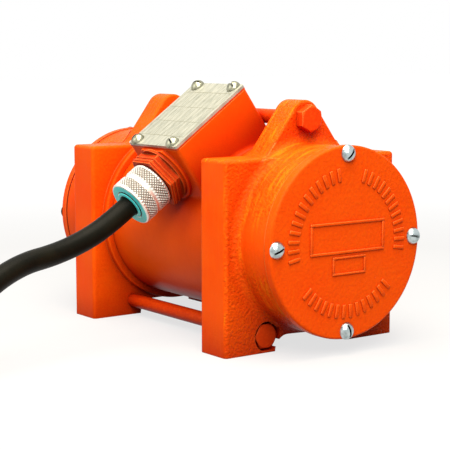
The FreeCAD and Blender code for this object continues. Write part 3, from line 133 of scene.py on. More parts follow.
@dataclass(frozen=True)
class Enamel(Finish):
    """Alkyd enamel sprayed over a casting: a thick film, with painted shade darker in the hollows.
    """

    body: str = "#FF5006"
    light: str = "#FF7E0E"          # paler tone: drifts over a face at random, and on grain peaks and stroke crests it is thinner film with a painted highlight
    deep: str = "#A81A03"           # deep tone: thick film in the pores with painted shade there, and painted shade in the hollows
    drift_mm: float = 30.0          # slow change of tone over a face
    grain_mm: float = 1.5           # sand grain of the mould, drawn twice as coarse to show
    grain_depth_mm: float = 1.0
    brush_mm: float = 2.0           # strokes round the shaft, drawn twice as broad to show
    brush_depth_mm: float = 0.8
    brush_stretch: float = 0.14     # a stroke's breadth over its length
    film_mm: float = 7.0            # slow ripple of the sprayed film
    film_depth_mm: float = 0.20
    peak_share: float = 0.35        # how far the peaks go to the light tone
    pore_share: float = 0.25        # how far the pores go to the deep tone
    crest_share: float = 0.8        # how far the crests of the strokes go to the light tone
    roughness: float = 0.38
    specular: float = 0.05          # a dusty film, duller than bare gloss
    hollow_mm: float = 20.0         # reach of the painted shade in corners
    full_hollow: float = 0.2        # open share of the sky at which the painted shade is full
    rim: str = "#FFA050"            # painted highlight along an outside edge
    rim_mm: float = 0.9             # radius of the soft edges, and reach of the painted edge highlight
    rim_share: float = 0.7
    ground_sides: bool = False      # sides square to Y are ground flat before painting

    def surface(self, tree: bpy.types.NodeTree) -> Source:
        """Lay the film over the cast skin, with painted shade in corners and a painted highlight
        on edges.

        Args:
            tree: The material's node tree.

        Returns:
            The enamel's shader.
        """
        place = add(tree, "ShaderNodeTexCoord").outputs["Object"]
        strokes = add(tree, "ShaderNodeMapping",
                      {"Scale": (1.0, self.brush_stretch, self.brush_stretch)},
                      {"Vector": place})
        grain = add(tree, "ShaderNodeTexNoise",
                    {"Scale": per_metre(self.grain_mm), "Detail": 3.0, "Roughness": 0.55},
                    {"Vector": place})
        brush = add(tree, "ShaderNodeTexNoise",
                    {"Scale": per_metre(self.brush_mm), "Detail": 3.0}, {"Vector": strokes})
        film = add(tree, "ShaderNodeTexNoise", {"Scale": per_metre(self.film_mm), "Detail": 2.0},
                   {"Vector": place})
        cast = self.cast_share(tree)
        soft = add(tree, "ShaderNodeBevel", {"Radius": self.rim_mm * MM}, samples=6)
        # painted shade: the deep tone wherever the sky is hidden, in corners and hollows
        corner = add(tree, "ShaderNodeAmbientOcclusion", {"Distance": self.hollow_mm * MM},
                     samples=8)
        is_open = add(tree, "ShaderNodeMapRange",
                      {"From Min": self.full_hollow, "From Max": 0.95},
                      {"Value": corner.outputs["AO"]})
        shaded_in_hollows = add(tree, "ShaderNodeMix", {6: linear(self.deep)},
                     {0: is_open, 7: self.tone(tree, place, grain, brush, cast)},
                     data_type="RGBA")
        # painted highlight: the pale rim tone on outside edges
        edge_highlighted = add(tree, "ShaderNodeMix", {7: linear(self.rim)},
                     {0: self.edge_share(tree, soft, is_open), 6: shaded_in_hollows}, data_type="RGBA")
        skin = soft
        for height, depth_mm in ((grain, self.grain_depth_mm), (brush, self.brush_depth_mm)):
            skin = add(tree, "ShaderNodeBump", {"Distance": depth_mm * MM},
                       {"Height": height, "Strength": cast, "Normal": skin})
        ripple = add(tree, "ShaderNodeBump",
                     {"Strength": 1.0, "Distance": self.film_depth_mm * MM},
                     {"Height": film, "Normal": skin})
        return add(tree, "ShaderNodeBsdfPrincipled",
                   {"Roughness": self.roughness, "IOR": 1.5, "Specular IOR Level": self.specular},
                   {"Base Color": edge_highlighted, "Normal": ripple})

    def tone(self, tree: bpy.types.NodeTree, place: Source, grain: Source, brush: Source,
             cast: Source) -> Source:
        """Mix the film's tones: pale on peaks and crests, thinner film with a painted highlight;
        deep in pores, thicker film with painted shade.

        Args:
            tree: The material's node tree.
            place: Object coordinates.
            grain: Height of the sand grain.
            brush: Height of the strokes.
            cast: How rough the skin is.

        Returns:
            The film's colour in the open.
        """
        drift = add(tree, "ShaderNodeTexNoise",
                    {"Scale": per_metre(self.drift_mm), "Detail": 3.0}, {"Vector": place})
        drifted = add(tree, "ShaderNodeMapRange",
                      {"From Min": 0.35, "From Max": 0.75, "To Max": 0.25}, {"Value": drift})
        peak, crest, pore = (
            add(tree, "ShaderNodeMapRange", {"From Min": start, "From Max": full, "To Max": most},
                {"Value": height})
            for height, start, full, most in ((grain, 0.5, 0.7, self.peak_share),
                                              (brush, 0.5, 0.66, self.crest_share),
                                              (grain, 0.46, 0.30, self.pore_share)))
        stroke = add(tree, "ShaderNodeMath",
                     links={0: crest, 1: self.facing(tree, "X", 0.5, 0.9, 0.1)},
                     operation="MULTIPLY")
        # painted highlight on the grain's peaks and the strokes' crests, where the film is also
        # thinner
        thin = add(tree, "ShaderNodeMath", links={0: peak, 1: stroke}, operation="MAXIMUM")
        toned = add(tree, "ShaderNodeMix", {6: linear(self.body), 7: linear(self.light)},
                    {0: drifted}, data_type="RGBA")
        for share, colour in ((thin, self.light), (pore, self.deep)):
            part = add(tree, "ShaderNodeMath", links={0: share, 1: cast}, operation="MULTIPLY")
            toned = add(tree, "ShaderNodeMix", {7: linear(colour)}, {0: part, 6: toned},
                        data_type="RGBA")
        return toned

    def edge_share(self, tree: bpy.types.NodeTree, soft: Source, is_open: Source) -> Source:
        """Find the share of the painted edge highlight: highest on an outside edge, 0 on a face.

        Args:
            tree: The material's node tree.
            soft: The normal with its edges rounded off.
            is_open: 1 in the open and 0 in a corner, which keeps inside edges dark.

        Returns:
            The share of the rim's tone.
        """
        sharp = add(tree, "ShaderNodeNewGeometry").outputs["Normal"]
        same = add(tree, "ShaderNodeVectorMath", links={0: soft, 1: sharp},
                   operation="DOT_PRODUCT")
        bend = add(tree, "ShaderNodeMapRange",
                   {"From Min": 0.985, "From Max": 0.86, "To Max": self.rim_share},
                   {"Value": same})
        return add(tree, "ShaderNodeMath", links={0: bend, 1: is_open}, operation="MULTIPLY")

    def cast_share(self, tree: bpy.types.NodeTree) -> Source:
        """Find how rough the skin is.

        Args:
            tree: The material's node tree.

        Returns:
            1 as cast, and less on sides that are ground flat.
        """
        if self.ground_sides:
            return self.facing(tree, "Y", 0.93, 0.99, 0.12)
        whole = add(tree, "ShaderNodeValue")
        whole.outputs[0].default_value = 1.0
        return whole

    def facing(self, tree: bpy.types.NodeTree, axis: str, start: float, stop: float,
               least: float) -> Source:
        """Tell a face square to an axis from one turned away from it.

        Args:
            tree: The material's node tree.
            axis: "X", "Y" or "Z".
            start: Size of the normal's part along the axis where the fall starts.
            stop: And where it ends.
            least: The value on a face square to the axis.

        Returns:
            1 on a face turned away, falling to the least value on one square to it.
        """
        normal = add(tree, "ShaderNodeNewGeometry").outputs["True Normal"]
        parts = add(tree, "ShaderNodeSeparateXYZ", links={0: normal})
        size = add(tree, "ShaderNodeMath", links={0: parts.outputs[axis]}, operation="ABSOLUTE")
        return add(tree, "ShaderNodeMapRange",
                   {"From Min": start, "From Max": stop, "To Min": 1.0, "To Max": least},
                   {"Value": size})


@dataclass(frozen=True)
class Metal(Finish):
    """Bare or plated metal with fine cutter marks, a mottled film and painted shade in its
    crevices.
    """

    body: str = "#C9CDCB"
    stain: str = "#8E9894"
    # painted shade in crevices and in a knurl's valleys
    crevice_shade: str = "#2B261E"
    roughness: float = 0.28
    mottle_mm: float = 2.5
    scratch_mm: float = 0.35        # drawn coarser than a real file mark, so that it shows
    scratch_depth_mm: float = 0.012
    stretch: tuple[float, float, float] = (1.0, 1.0, 1.0)
    metallic: float = 1.0
    crevice_mm: float = 0.0         # reach of the painted shade in crevices, 0 for none
    shade_by_relief: bool = False     # painted shade follows the piece's own "relief" attribute

    def surface(self, tree: bpy.types.NodeTree) -> Source:
        """Mottle the plating, scratch it and paint shade into its crevices.

        Args:
            tree: The material's node tree.

        Returns:
            The metal's shader.
        """
        place = add(tree, "ShaderNodeTexCoord").outputs["Object"]
        along = add(tree, "ShaderNodeMapping", {"Scale": self.stretch}, {"Vector": place})
        mottle = add(tree, "ShaderNodeTexNoise",
                     {"Scale": per_metre(self.mottle_mm), "Detail": 4.0}, {"Vector": along})
        marks = add(tree, "ShaderNodeTexNoise",
                    {"Scale": per_metre(self.scratch_mm), "Detail": 2.0}, {"Vector": along})
        share = add(tree, "ShaderNodeMapRange",
                    {"From Min": 0.42, "From Max": 0.78, "To Max": 0.8}, {"Value": mottle})
        colour = add(tree, "ShaderNodeMix", {6: linear(self.body), 7: linear(self.stain)},
                     {0: share}, data_type="RGBA")
        # painted shade: the crevice tone in slots, round rims and in the knurl's valleys
        clean = self.unshaded_share(tree)
        if clean is not None:
            colour = add(tree, "ShaderNodeMix", {6: linear(self.crevice_shade)}, {0: clean, 7: colour},
                         data_type="RGBA")
        bump = add(tree, "ShaderNodeBump",
                   {"Strength": 1.0, "Distance": self.scratch_depth_mm * MM}, {"Height": marks})
        return add(tree, "ShaderNodeBsdfPrincipled",
                   {"Metallic": self.metallic, "Roughness": self.roughness},
                   {"Base Color": colour, "Normal": bump})

    def unshaded_share(self, tree: bpy.types.NodeTree) -> Source | None:
        """Find how far the metal lies out of its painted shade.

        Args:
            tree: The material's node tree.

        Returns:
            0 in a crevice and 1 in the open, or None for a piece without painted shade.
        """
        if self.shade_by_relief:
            relief = add(tree, "ShaderNodeAttribute", attribute_name="relief")
            return add(tree, "ShaderNodeMapRange", {"From Min": 0.05, "From Max": 0.6},
                       {"Value": relief.outputs["Fac"]})
        if self.crevice_mm:
            corner = add(tree, "ShaderNodeAmbientOcclusion",
                         {"Distance": self.crevice_mm * MM}, samples=8)
            return add(tree, "ShaderNodeMapRange", {"From Min": 0.35, "From Max": 0.85},
                       {"Value": corner.outputs["AO"]})
        return None


@dataclass(frozen=True)
class Rubber(Finish):
    """Chloroprene or moulded vinyl: dark, satin, with a faint bloom."""

    body: str = "#1C1B15"
    bloom: str = "#3A3626"
    roughness: float = 0.42
    specular: float = 0.3
    bloom_mm: float = 14.0
    pore_mm: float = 0.9
    pore_depth_mm: float = 0.02

    def surface(self, tree: bpy.types.NodeTree) -> Source:
        """Mix the bloom over the finely pored rubber.

        Args:
            tree: The material's node tree.

        Returns:
            The rubber's shader.
        """
        place = add(tree, "ShaderNodeTexCoord").outputs["Object"]
        bloom = add(tree, "ShaderNodeTexNoise",
                    {"Scale": per_metre(self.bloom_mm), "Detail": 5.0}, {"Vector": place})
        pores = add(tree, "ShaderNodeTexNoise",
                    {"Scale": per_metre(self.pore_mm), "Detail": 2.0}, {"Vector": place})
        share = add(tree, "ShaderNodeMapRange",
                    {"From Min": 0.4, "From Max": 0.75, "To Max": 0.8}, {"Value": bloom})
        colour = add(tree, "ShaderNodeMix", {6: linear(self.body), 7: linear(self.bloom)},
                     {0: share}, data_type="RGBA")
        bump = add(tree, "ShaderNodeBump",
                   {"Strength": 1.0, "Distance": self.pore_depth_mm * MM}, {"Height": pores})
        return add(tree, "ShaderNodeBsdfPrincipled",
                   {"Roughness": self.roughness, "IOR": 1.52, "Specular IOR Level": self.specular},
                   {"Base Color": colour, "Normal": bump})


@dataclass(frozen=True)
class Laminations(Finish):
    """Stack of electrical steel sheets seen edge on: fine bands square to the shaft."""

    body: str = "#6E7074"
    gap: str = "#2C2B2C"
    rust: str = "#5A4638"
    rust_mm: float = 6.0
    sheet_mm: float = 1.0           # real sheets are half a millimetre; drawn twice as thick
    gap_depth_mm: float = 0.05

    def surface(self, tree: bpy.types.NodeTree) -> Source:
        """Band the stack along the shaft and age it.

        Args:
            tree: The material's node tree.

        Returns:
            The stack's shader.
        """
        place = add(tree, "ShaderNodeTexCoord").outputs["Object"]
        bands = add(tree, "ShaderNodeTexWave",
                    {"Scale": per_metre(self.sheet_mm) * WAVE_REPEAT, "Distortion": 0.4},
                    {"Vector": place}, bands_direction="X", wave_profile="SAW").outputs["Fac"]
        rust = add(tree, "ShaderNodeTexNoise", {"Scale": per_metre(self.rust_mm), "Detail": 4.0},
                   {"Vector": place})
        banded = add(tree, "ShaderNodeMix", {6: linear(self.gap), 7: linear(self.body)},
                     {0: bands}, data_type="RGBA")
        aged = add(tree, "ShaderNodeMix", {7: linear(self.rust)}, {0: rust, 6: banded},
                   data_type="RGBA")
        bump = add(tree, "ShaderNodeBump",
                   {"Strength": 1.0, "Distance": self.gap_depth_mm * MM}, {"Height": bands})
        return add(tree, "ShaderNodeBsdfPrincipled", {"Metallic": 0.8, "Roughness": 0.45},
                   {"Base Color": aged, "Normal": bump})


@dataclass(frozen=True)
class StudioPaper(Finish):
    """Seamless paper under the motor: white to the eye, still taking the motor's shadow."""

    tone: str = "#767676"
    lift_near: float = 0.72         # light of its own that the eye sees, under the motor
    lift_far: float = 1.0           # and from where the paper turns into backdrop
    near_m: float = 0.35
    far_m: float = 0.9

    def surface(self, tree: bpy.types.NodeTree) -> Source:
        """Give plain paper light of its own for the eye, for metal and for glass.

        Args:
            tree: The material's node tree.

        Returns:
            The paper's shader.
        """
        place = add(tree, "ShaderNodeTexCoord").outputs["Object"]
        reach = add(tree, "ShaderNodeVectorMath", links={0: place}, operation="LENGTH")
        lift = add(tree, "ShaderNodeMapRange",
                   {"From Min": self.near_m, "From Max": self.far_m,
                    "To Min": self.lift_near, "To Max": self.lift_far}, {"Value": reach})
        strength = add(tree, "ShaderNodeMath", links={0: backdrop_rays(tree), 1: lift},
                       operation="MULTIPLY")
        paper = add(tree, "ShaderNodeBsdfDiffuse", {"Color": linear(self.tone)})
        glow = add(tree, "ShaderNodeEmission", {"Color": linear("#FFFFFF")},
                   {"Strength": strength})
        return add(tree, "ShaderNodeAddShader", links={0: paper, 1: glow})


def backdrop_rays(tree: bpy.types.NodeTree) -> Source:
    """Pick the rays that show the white backdrop: the eye's, metal's and glass's.

    Args:
        tree: The floor's or the world's node tree.

    Returns:
        1 for those rays and 0 for the ones that light the motor.
    """
    path = add(tree, "ShaderNodeLightPath").outputs
    seen = path["Is Camera Ray"]
    for ray in ("Is Glossy Ray", "Is Transmission Ray"):
        seen = add(tree, "ShaderNodeMath", links={0: seen, 1: path[ray]}, operation="MAXIMUM")
    return seen


class Coat(Enum):
    """Every finish on the motor, by what it is."""

    # alkyd enamel on sand-cast iron: pale peaks on a gritty skin and pale strokes round the weight
    # chamber, thinner film with a painted highlight; painted shade in deep red between the
    # chamber, the plate and the ear
    ROUGH_ENAMEL = Enamel("enamel_on_rough_casting", ground_sides=True, full_hollow=0.25,
                          hollow_mm=28.0)
    # the same enamel on the smoother casting: an even orange with a painted highlight on its soft
    # edges and painted shade in its corners
    FAR_ENAMEL = Enamel("enamel_on_smoother_casting", ground_sides=True, grain_depth_mm=0.3,
                        brush_depth_mm=0.2, peak_share=0.15, pore_share=0.05,
                        crest_share=0.15)
    # on the turned face of a cover: finely mottled, with painted shade only beside the raised bars
    # and rims
    COVER_ENAMEL = Enamel("enamel_on_cover", grain_mm=1.8, grain_depth_mm=0.32,
                          brush_depth_mm=0.05, light="#FF6A0C", peak_share=0.3,
                          pore_share=0.1, crest_share=0.1, film_depth_mm=0.16,
                          hollow_mm=3.0)
    # on the smooth tube and its box: golden and even, with painted shade falling to red towards
    # the housings
    SHELL_ENAMEL = Enamel("enamel_on_smooth_shell", body="#FF5808", deep="#B01C04",
                          full_hollow=0.32, grain_mm=3.0, grain_depth_mm=0.05,
                          brush_depth_mm=0.04, light="#FF620C", peak_share=0.3,
                          pore_share=0.05, crest_share=0.1, film_depth_mm=0.1,
                          hollow_mm=34.0)
    # brushed over rolled steel bolts: flatter and redder than the castings, with painted shade in
    # corners and a painted highlight on edges
    HARDWARE_ENAMEL = Enamel("enamel_on_hardware", body="#DE3C08", light="#FF6414",
                             grain_mm=1.8, grain_depth_mm=0.08, brush_depth_mm=0.06,
                             pore_share=0.1, crest_share=0.1, film_depth_mm=0.08,
                             hollow_mm=14.0)
    # a thin coat on a turned connector: brick red, with painted shade nearly brown between its
    # ridges
    CONNECTOR_ENAMEL = Enamel("enamel_on_connector", body="#D23606", light="#F8600F",
                              deep="#5E1002", full_hollow=0.3, grain_mm=1.8,
                              grain_depth_mm=0.08, brush_depth_mm=0.06, pore_share=0.1,
                              crest_share=0.1, film_depth_mm=0.08, hollow_mm=18.0)
    # plated steel heads: cool and bright, with painted shade black in the slot and round the rim
    ZINC = Metal("bright_zinc_screw", body="#BDC9CA", stain="#6F7B7C", crevice_shade="#1E1F1A",
                 roughness=0.26, crevice_mm=1.8)
    # the same plating gone dull outdoors: a yellow grey, with the same painted shade in the slot
    # and round the rim
    DULL_ZINC = Metal("dull_zinc_screw", body="#AAA890", stain="#6A6854", crevice_shade="#1A1B15",
                      roughness=0.3, crevice_mm=1.8)
    # rolled aluminium sheet: a warm pale grey with long streaks, no mirror
    DATA_PLATE = Metal("satin_aluminium_plate", body="#B4B4A6", stain="#767B6E",
                       roughness=0.5, mottle_mm=2.0, stretch=(1.8, 0.3, 0.3),
                       scratch_depth_mm=0.03, metallic=0.45)
    # etched lines: one shade darker than the plate
    RULING = Metal("etched_ruling", body="#8F8E7A", stain="#6C6B58", roughness=0.6, metallic=0.2)
    # bright knurled alloy: nearly white points over painted shade, brown in the valleys
    NUT_METAL = Metal("bright_knurled_nut", body="#F4F1E8", stain="#D9D2C4", crevice_shade="#5E5142",
                      roughness=0.28, metallic=0.6, shade_by_relief=True)
    # blue-dipped zinc end face: one flat teal ring
    BLUE_ZINC = Metal("blue_zinc_face", body="#5CFAF8", stain="#4CE6E6", roughness=0.4,
                      metallic=0.0)
    # extruded chloroprene jacket: nearly black, a faint olive bloom in patches
    CORD_RUBBER = Rubber("chloroprene_cord", body="#0E0E08", bloom="#1C1A10", specular=0.06)
    # moulded nitrile: black, with a tighter highlight than the cord
    BUSH_RUBBER = Rubber("nitrile_bush", body="#0E100F", bloom="#18201D", roughness=0.36)
    # moulded vinyl: a cooler black, satin all over
    PLUG_VINYL = Rubber("moulded_vinyl_plug", body="#151618", bloom="#202226", roughness=0.5)
    # cut sheet under overspray: a thin dark line round each cover
    GASKET = Rubber("painted_gasket_sheet", body="#5A1804", bloom="#6E2006", roughness=0.6)
    # cut sheet painted with the box: it only parts the lid from the box
    LID_GASKET = Rubber("enamelled_lid_gasket", body="#C43C08", bloom="#D0480C", roughness=0.5)
    # stamped brass: a warm yellow glint
    BRASS = Metal("stamped_brass_blade", body="#D9BE7A", stain="#B08D4C", roughness=0.3)
    # ground and polished steel: sharp, clean reflections
    BEARING = Metal("ground_bearing_steel", body="#C8CACC", stain="#AEB1B4", roughness=0.16)
    # pressed strip: a softer grey between the balls
    CAGE = Metal("pressed_steel_cage", body="#A9A9A6", stain="#8A8984", roughness=0.34)
    # enamelled wire dipped in varnish: fine copper threads round the coil heads
    COPPER = Metal("varnished_copper_winding", body="#B4562A", stain="#7A3212", roughness=0.3,
                   scratch_mm=0.8, scratch_depth_mm=0.2, stretch=(0.25, 1.0, 1.0))
    # die-cast rings and fan blades: pale and slightly grainy
    CAST_ALUMINIUM = Metal("die_cast_aluminium", body="#B9BABC", stain="#96989B",
                           roughness=0.45, scratch_mm=1.4, scratch_depth_mm=0.04)
    # turned bar: rings of light round the shaft
    TURNED_STEEL = Metal("turned_steel", body="#9FA1A4", stain="#7C7E82", roughness=0.3,
                         stretch=(3.0, 0.4, 0.4))
    # milled plate: a dark, dull grey
    WEIGHT_IRON = Metal("machined_iron_weight", body="#7E7F82", stain="#5B5A5C",
                        roughness=0.42, scratch_mm=0.8)
    # stacked sheets: dark bands square to the shaft
    CORE = Laminations("laminated_core")
    # extruded insulation: plain black with a soft highlight
    BLACK_WIRE = Rubber("black_insulation", body="#161616", bloom="#222222", roughness=0.35)
    # the same in a warm white
    WHITE_WIRE = Rubber("white_insulation", body="#D8D6CE", bloom="#C2BFB4", roughness=0.35)
    # the same in a deep green, for earth
    GREEN_WIRE = Rubber("green_insulation", body="#0F6A30", bloom="#1A7A3C", roughness=0.35)
    # the same in a dark red, for the motor's own leads
    RED_WIRE = Rubber("red_insulation", body="#9A1410", bloom="#B0241A", roughness=0.35)
    # nylon sleeve: an amber that stands out among the wires
    SPLICE = Rubber("nylon_splice_sleeve", body="#D8A93A", bloom="#C8962C", roughness=0.4)
    # seamless paper: white without an edge, with a soft shadow
    PAPER = StudioPaper("studio_paper")

    def material(self) -> bpy.types.Material:
        """Return the finish's material, built the first time that it is asked for."""
        return bpy.data.materials.get(self.value.name) or self.value.build()


# ---------------------------------------------------------------- mesh helpers
def lathe(outline: list[tuple[float, float]], steps: int) -> bmesh.types.BMesh:
    """Spin an outline of (along, radius) points round the local X axis.

    Args:
        outline: Points in millimetres; a closed outline repeats its first point.
        steps: Number of segments round the axis.

    Returns:
        A new bmesh with its seam and poles merged and its normals outwards.
    """
    bm = bmesh.new()
    points = [bm.verts.new((x * MM, 0.0, r * MM)) for x, r in outline]
    rails = [bm.edges.new(pair) for pair in zip(points, points[1:])]
    bmesh.ops.spin(bm, geom=points + rails, cent=(0, 0, 0), axis=(1, 0, 0), angle=math.tau,
                   steps=steps, use_merge=True)
    bmesh.ops.remove_doubles(bm, verts=bm.verts, dist=SAME)
    bmesh.ops.recalc_face_normals(bm, faces=bm.faces)
    return bm


def rounded_block(bm: bmesh.types.BMesh, half: Vector, place: Matrix, edge: float,
                  segments: int = 2) -> None:
    """Add a block with bevelled edges to a bmesh.

    Args:
        bm: The bmesh that gets the block.
        half: Half of its size along its own axes, in metres.
        place: Where its centre goes and how it is turned.
        edge: Width of the bevel, in metres.
        segments: Segments of the bevel.
    """
    made = bmesh.ops.create_cube(bm, size=2.0)
    corners = made["verts"]
    bmesh.ops.transform(bm, matrix=place @ Matrix.Diagonal((*half, 1.0)), verts=corners)
    edges = list({e for v in corners for e in v.link_edges})
    bmesh.ops.bevel(bm, geom=edges, offset=edge, affect="EDGES", segments=segments,
                    profile=0.5, material=-1)


def finish_piece(bm: bmesh.types.BMesh, name: str, coats: list[Coat],
                 stands_for: tuple[str, ...] = (), sharp_deg: float = 40.0) -> bpy.types.Object:
    """Turn a bmesh into a piece of the motor.

    Args:
        bm: The finished shape, in metres, where it belongs; it is freed.
        name: The piece's name.
        coats: Finishes, in the order of the faces' material indices.
        stands_for: CAD nodes that the piece stands for.
        sharp_deg: Angle past which an edge is shaded sharp.

    Returns:
        The new object, riding on the frame.
    """
    mesh = bpy.data.meshes.new(name)
    bm.to_mesh(mesh)
    bm.free()
    piece = bpy.data.objects.new(name, mesh)
    bpy.context.scene.collection.objects.link(piece)
    for coat in coats:
        mesh.materials.append(coat.material())
    mesh.shade_smooth()
    mesh.set_sharp_from_angle(angle=math.radians(sharp_deg))
    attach(piece, CARRIER)
    if stands_for:
        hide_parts(*stands_for)
    LOG.info("%s: %d faces", name, len(mesh.polygons))
    return piece


def dress(coat: Coat, *nodes: str) -> None:
    """Give CAD nodes a finish in place of their plain one.

    Args:
        coat: The finish.
        nodes: Names of the CAD nodes.
    """
    for name in nodes:
        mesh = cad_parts[name].data
        mesh.materials.clear()
        mesh.materials.append(coat.material())
        LOG.info("%s dressed in %s", name, coat.value.name)


def middle(node: str) -> Vector:
    """Return the centre of a CAD node's box."""
    low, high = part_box(node)
    return (low + high) / 2


def ease(value: float, span: tuple[float, float]) -> float:
    """Return 0 before a span, 1 after it and a smooth step between."""
    share = min(1.0, max(0.0, (value - span[0]) / (span[1] - span[0])))
    return share * share * (3 - 2 * share)


# ---------------------------------------------------------------- studio
@dataclass
class Lamp:
    """A square soft box."""

    name: str
    place: tuple[float, float, float]
    size: float
    power: float
    tint: str = "#FFFFFF"

    def build(self, aim: Vector) -> None:
        """Hang the lamp and turn it to a point.

        Args:
            aim: The point, in metres.
        """
        light = bpy.data.lights.new(self.name, "AREA")
        light.size = self.size
        light.energy = self.power
        light.color = linear(self.tint)[:3]
        lamp = bpy.data.objects.new(self.name, light)
        lamp.location = self.place
        lamp.rotation_euler = (aim - lamp.location).to_track_quat("-Z", "Y").to_euler()
        bpy.context.scene.collection.objects.link(lamp)


@dataclass
class Studio:
    """Camera, paper floor, soft boxes and world."""

    azimuth_deg: float = 54.071
    elevation_deg: float = 7.254
    roll_deg: float = -0.058
    distance: float = 0.780534
    slide_right: float = -0.001485
    slide_up: float = -0.0014
    axis_height: float = 0.0582     # of the shaft, which the camera and the lamps face
    sensor_mm: float = 36.0
    lens_mm: float = 109.014
    clip: tuple[float, float] = (0.05, 50.0)
    floor_half: float = 6.0
    world_light: float = 0.30       # what lights the motor, of the white that the eye sees
    lamps: list[Lamp] = field(default_factory=lambda: [
        Lamp("overhead_box", (0.10, -0.10, 0.64), 0.5, 6.0, "#FFF4E0"),
        Lamp("key_box", (0.78, -0.52, 0.74), 0.6, 10.0, "#FFFAF0"),
        Lamp("left_box", (-0.35, -1.2, 0.6), 0.8, 3.4),
    ])

    def build(self) -> None:
        """Make the camera, the floor, the lamps and the world."""
        self.build_camera()
        self.build_floor()
        aim = Vector((0.0, 0.0, self.axis_height))
        for lamp in self.lamps:
            lamp.build(aim)
        self.build_world()
        bpy.context.scene.view_settings.view_transform = "Standard"
        LOG.info("studio ready")

    def build_camera(self) -> None:
        """Stand the camera off the shaft's height, seen from the front left."""
        az, el = math.radians(self.azimuth_deg), math.radians(self.elevation_deg)
        back = Vector((math.sin(az) * math.cos(el), -math.cos(az) * math.cos(el), math.sin(el)))
        right = Vector((math.cos(az), math.sin(az), 0.0))
        up = back.cross(right)
        data = bpy.data.cameras.new("studio_camera")
        data.sensor_width = self.sensor_mm
        data.lens = self.lens_mm
        data.clip_start, data.clip_end = self.clip
        camera = bpy.data.objects.new("studio_camera", data)
        turn = Matrix((right, up, back)).transposed().to_4x4()
        spot = (Vector((0.0, 0.0, self.axis_height)) + back * self.distance
                + right * self.slide_right + up * self.slide_up)
        roll = Matrix.Rotation(math.radians(self.roll_deg), 4, "Z")
        camera.matrix_world = Matrix.Translation(spot) @ turn @ roll
        bpy.context.scene.collection.objects.link(camera)
        bpy.context.scene.camera = camera

    def build_floor(self) -> None:
        """Lay the paper at the feet."""
        bm = bmesh.new()
        bmesh.ops.create_grid(bm, x_segments=1, y_segments=1, size=self.floor_half)
        mesh = bpy.data.meshes.new("studio_floor")
        bm.to_mesh(mesh)
        bm.free()
        mesh.materials.append(Coat.PAPER.material())
        floor = bpy.data.objects.new("studio_floor", mesh)
        bpy.context.scene.collection.objects.link(floor)

    def build_world(self) -> None:
        """White room: full white to the eye and in reflections, softer on the motor."""
        world = bpy.data.worlds.new("white_room")
        world.use_nodes = True
        tree = world.node_tree
        tree.nodes.clear()
        level = add(tree, "ShaderNodeMapRange", {"To Min": self.world_light, "To Max": 1.0},
                    {"Value": backdrop_rays(tree)})
        sky = add(tree, "ShaderNodeBackground", {"Color": linear("#FFFFFF")},
                  {"Strength": level})
        add(tree, "ShaderNodeOutputWorld", links={"Surface": sky})
        bpy.context.scene.world = world


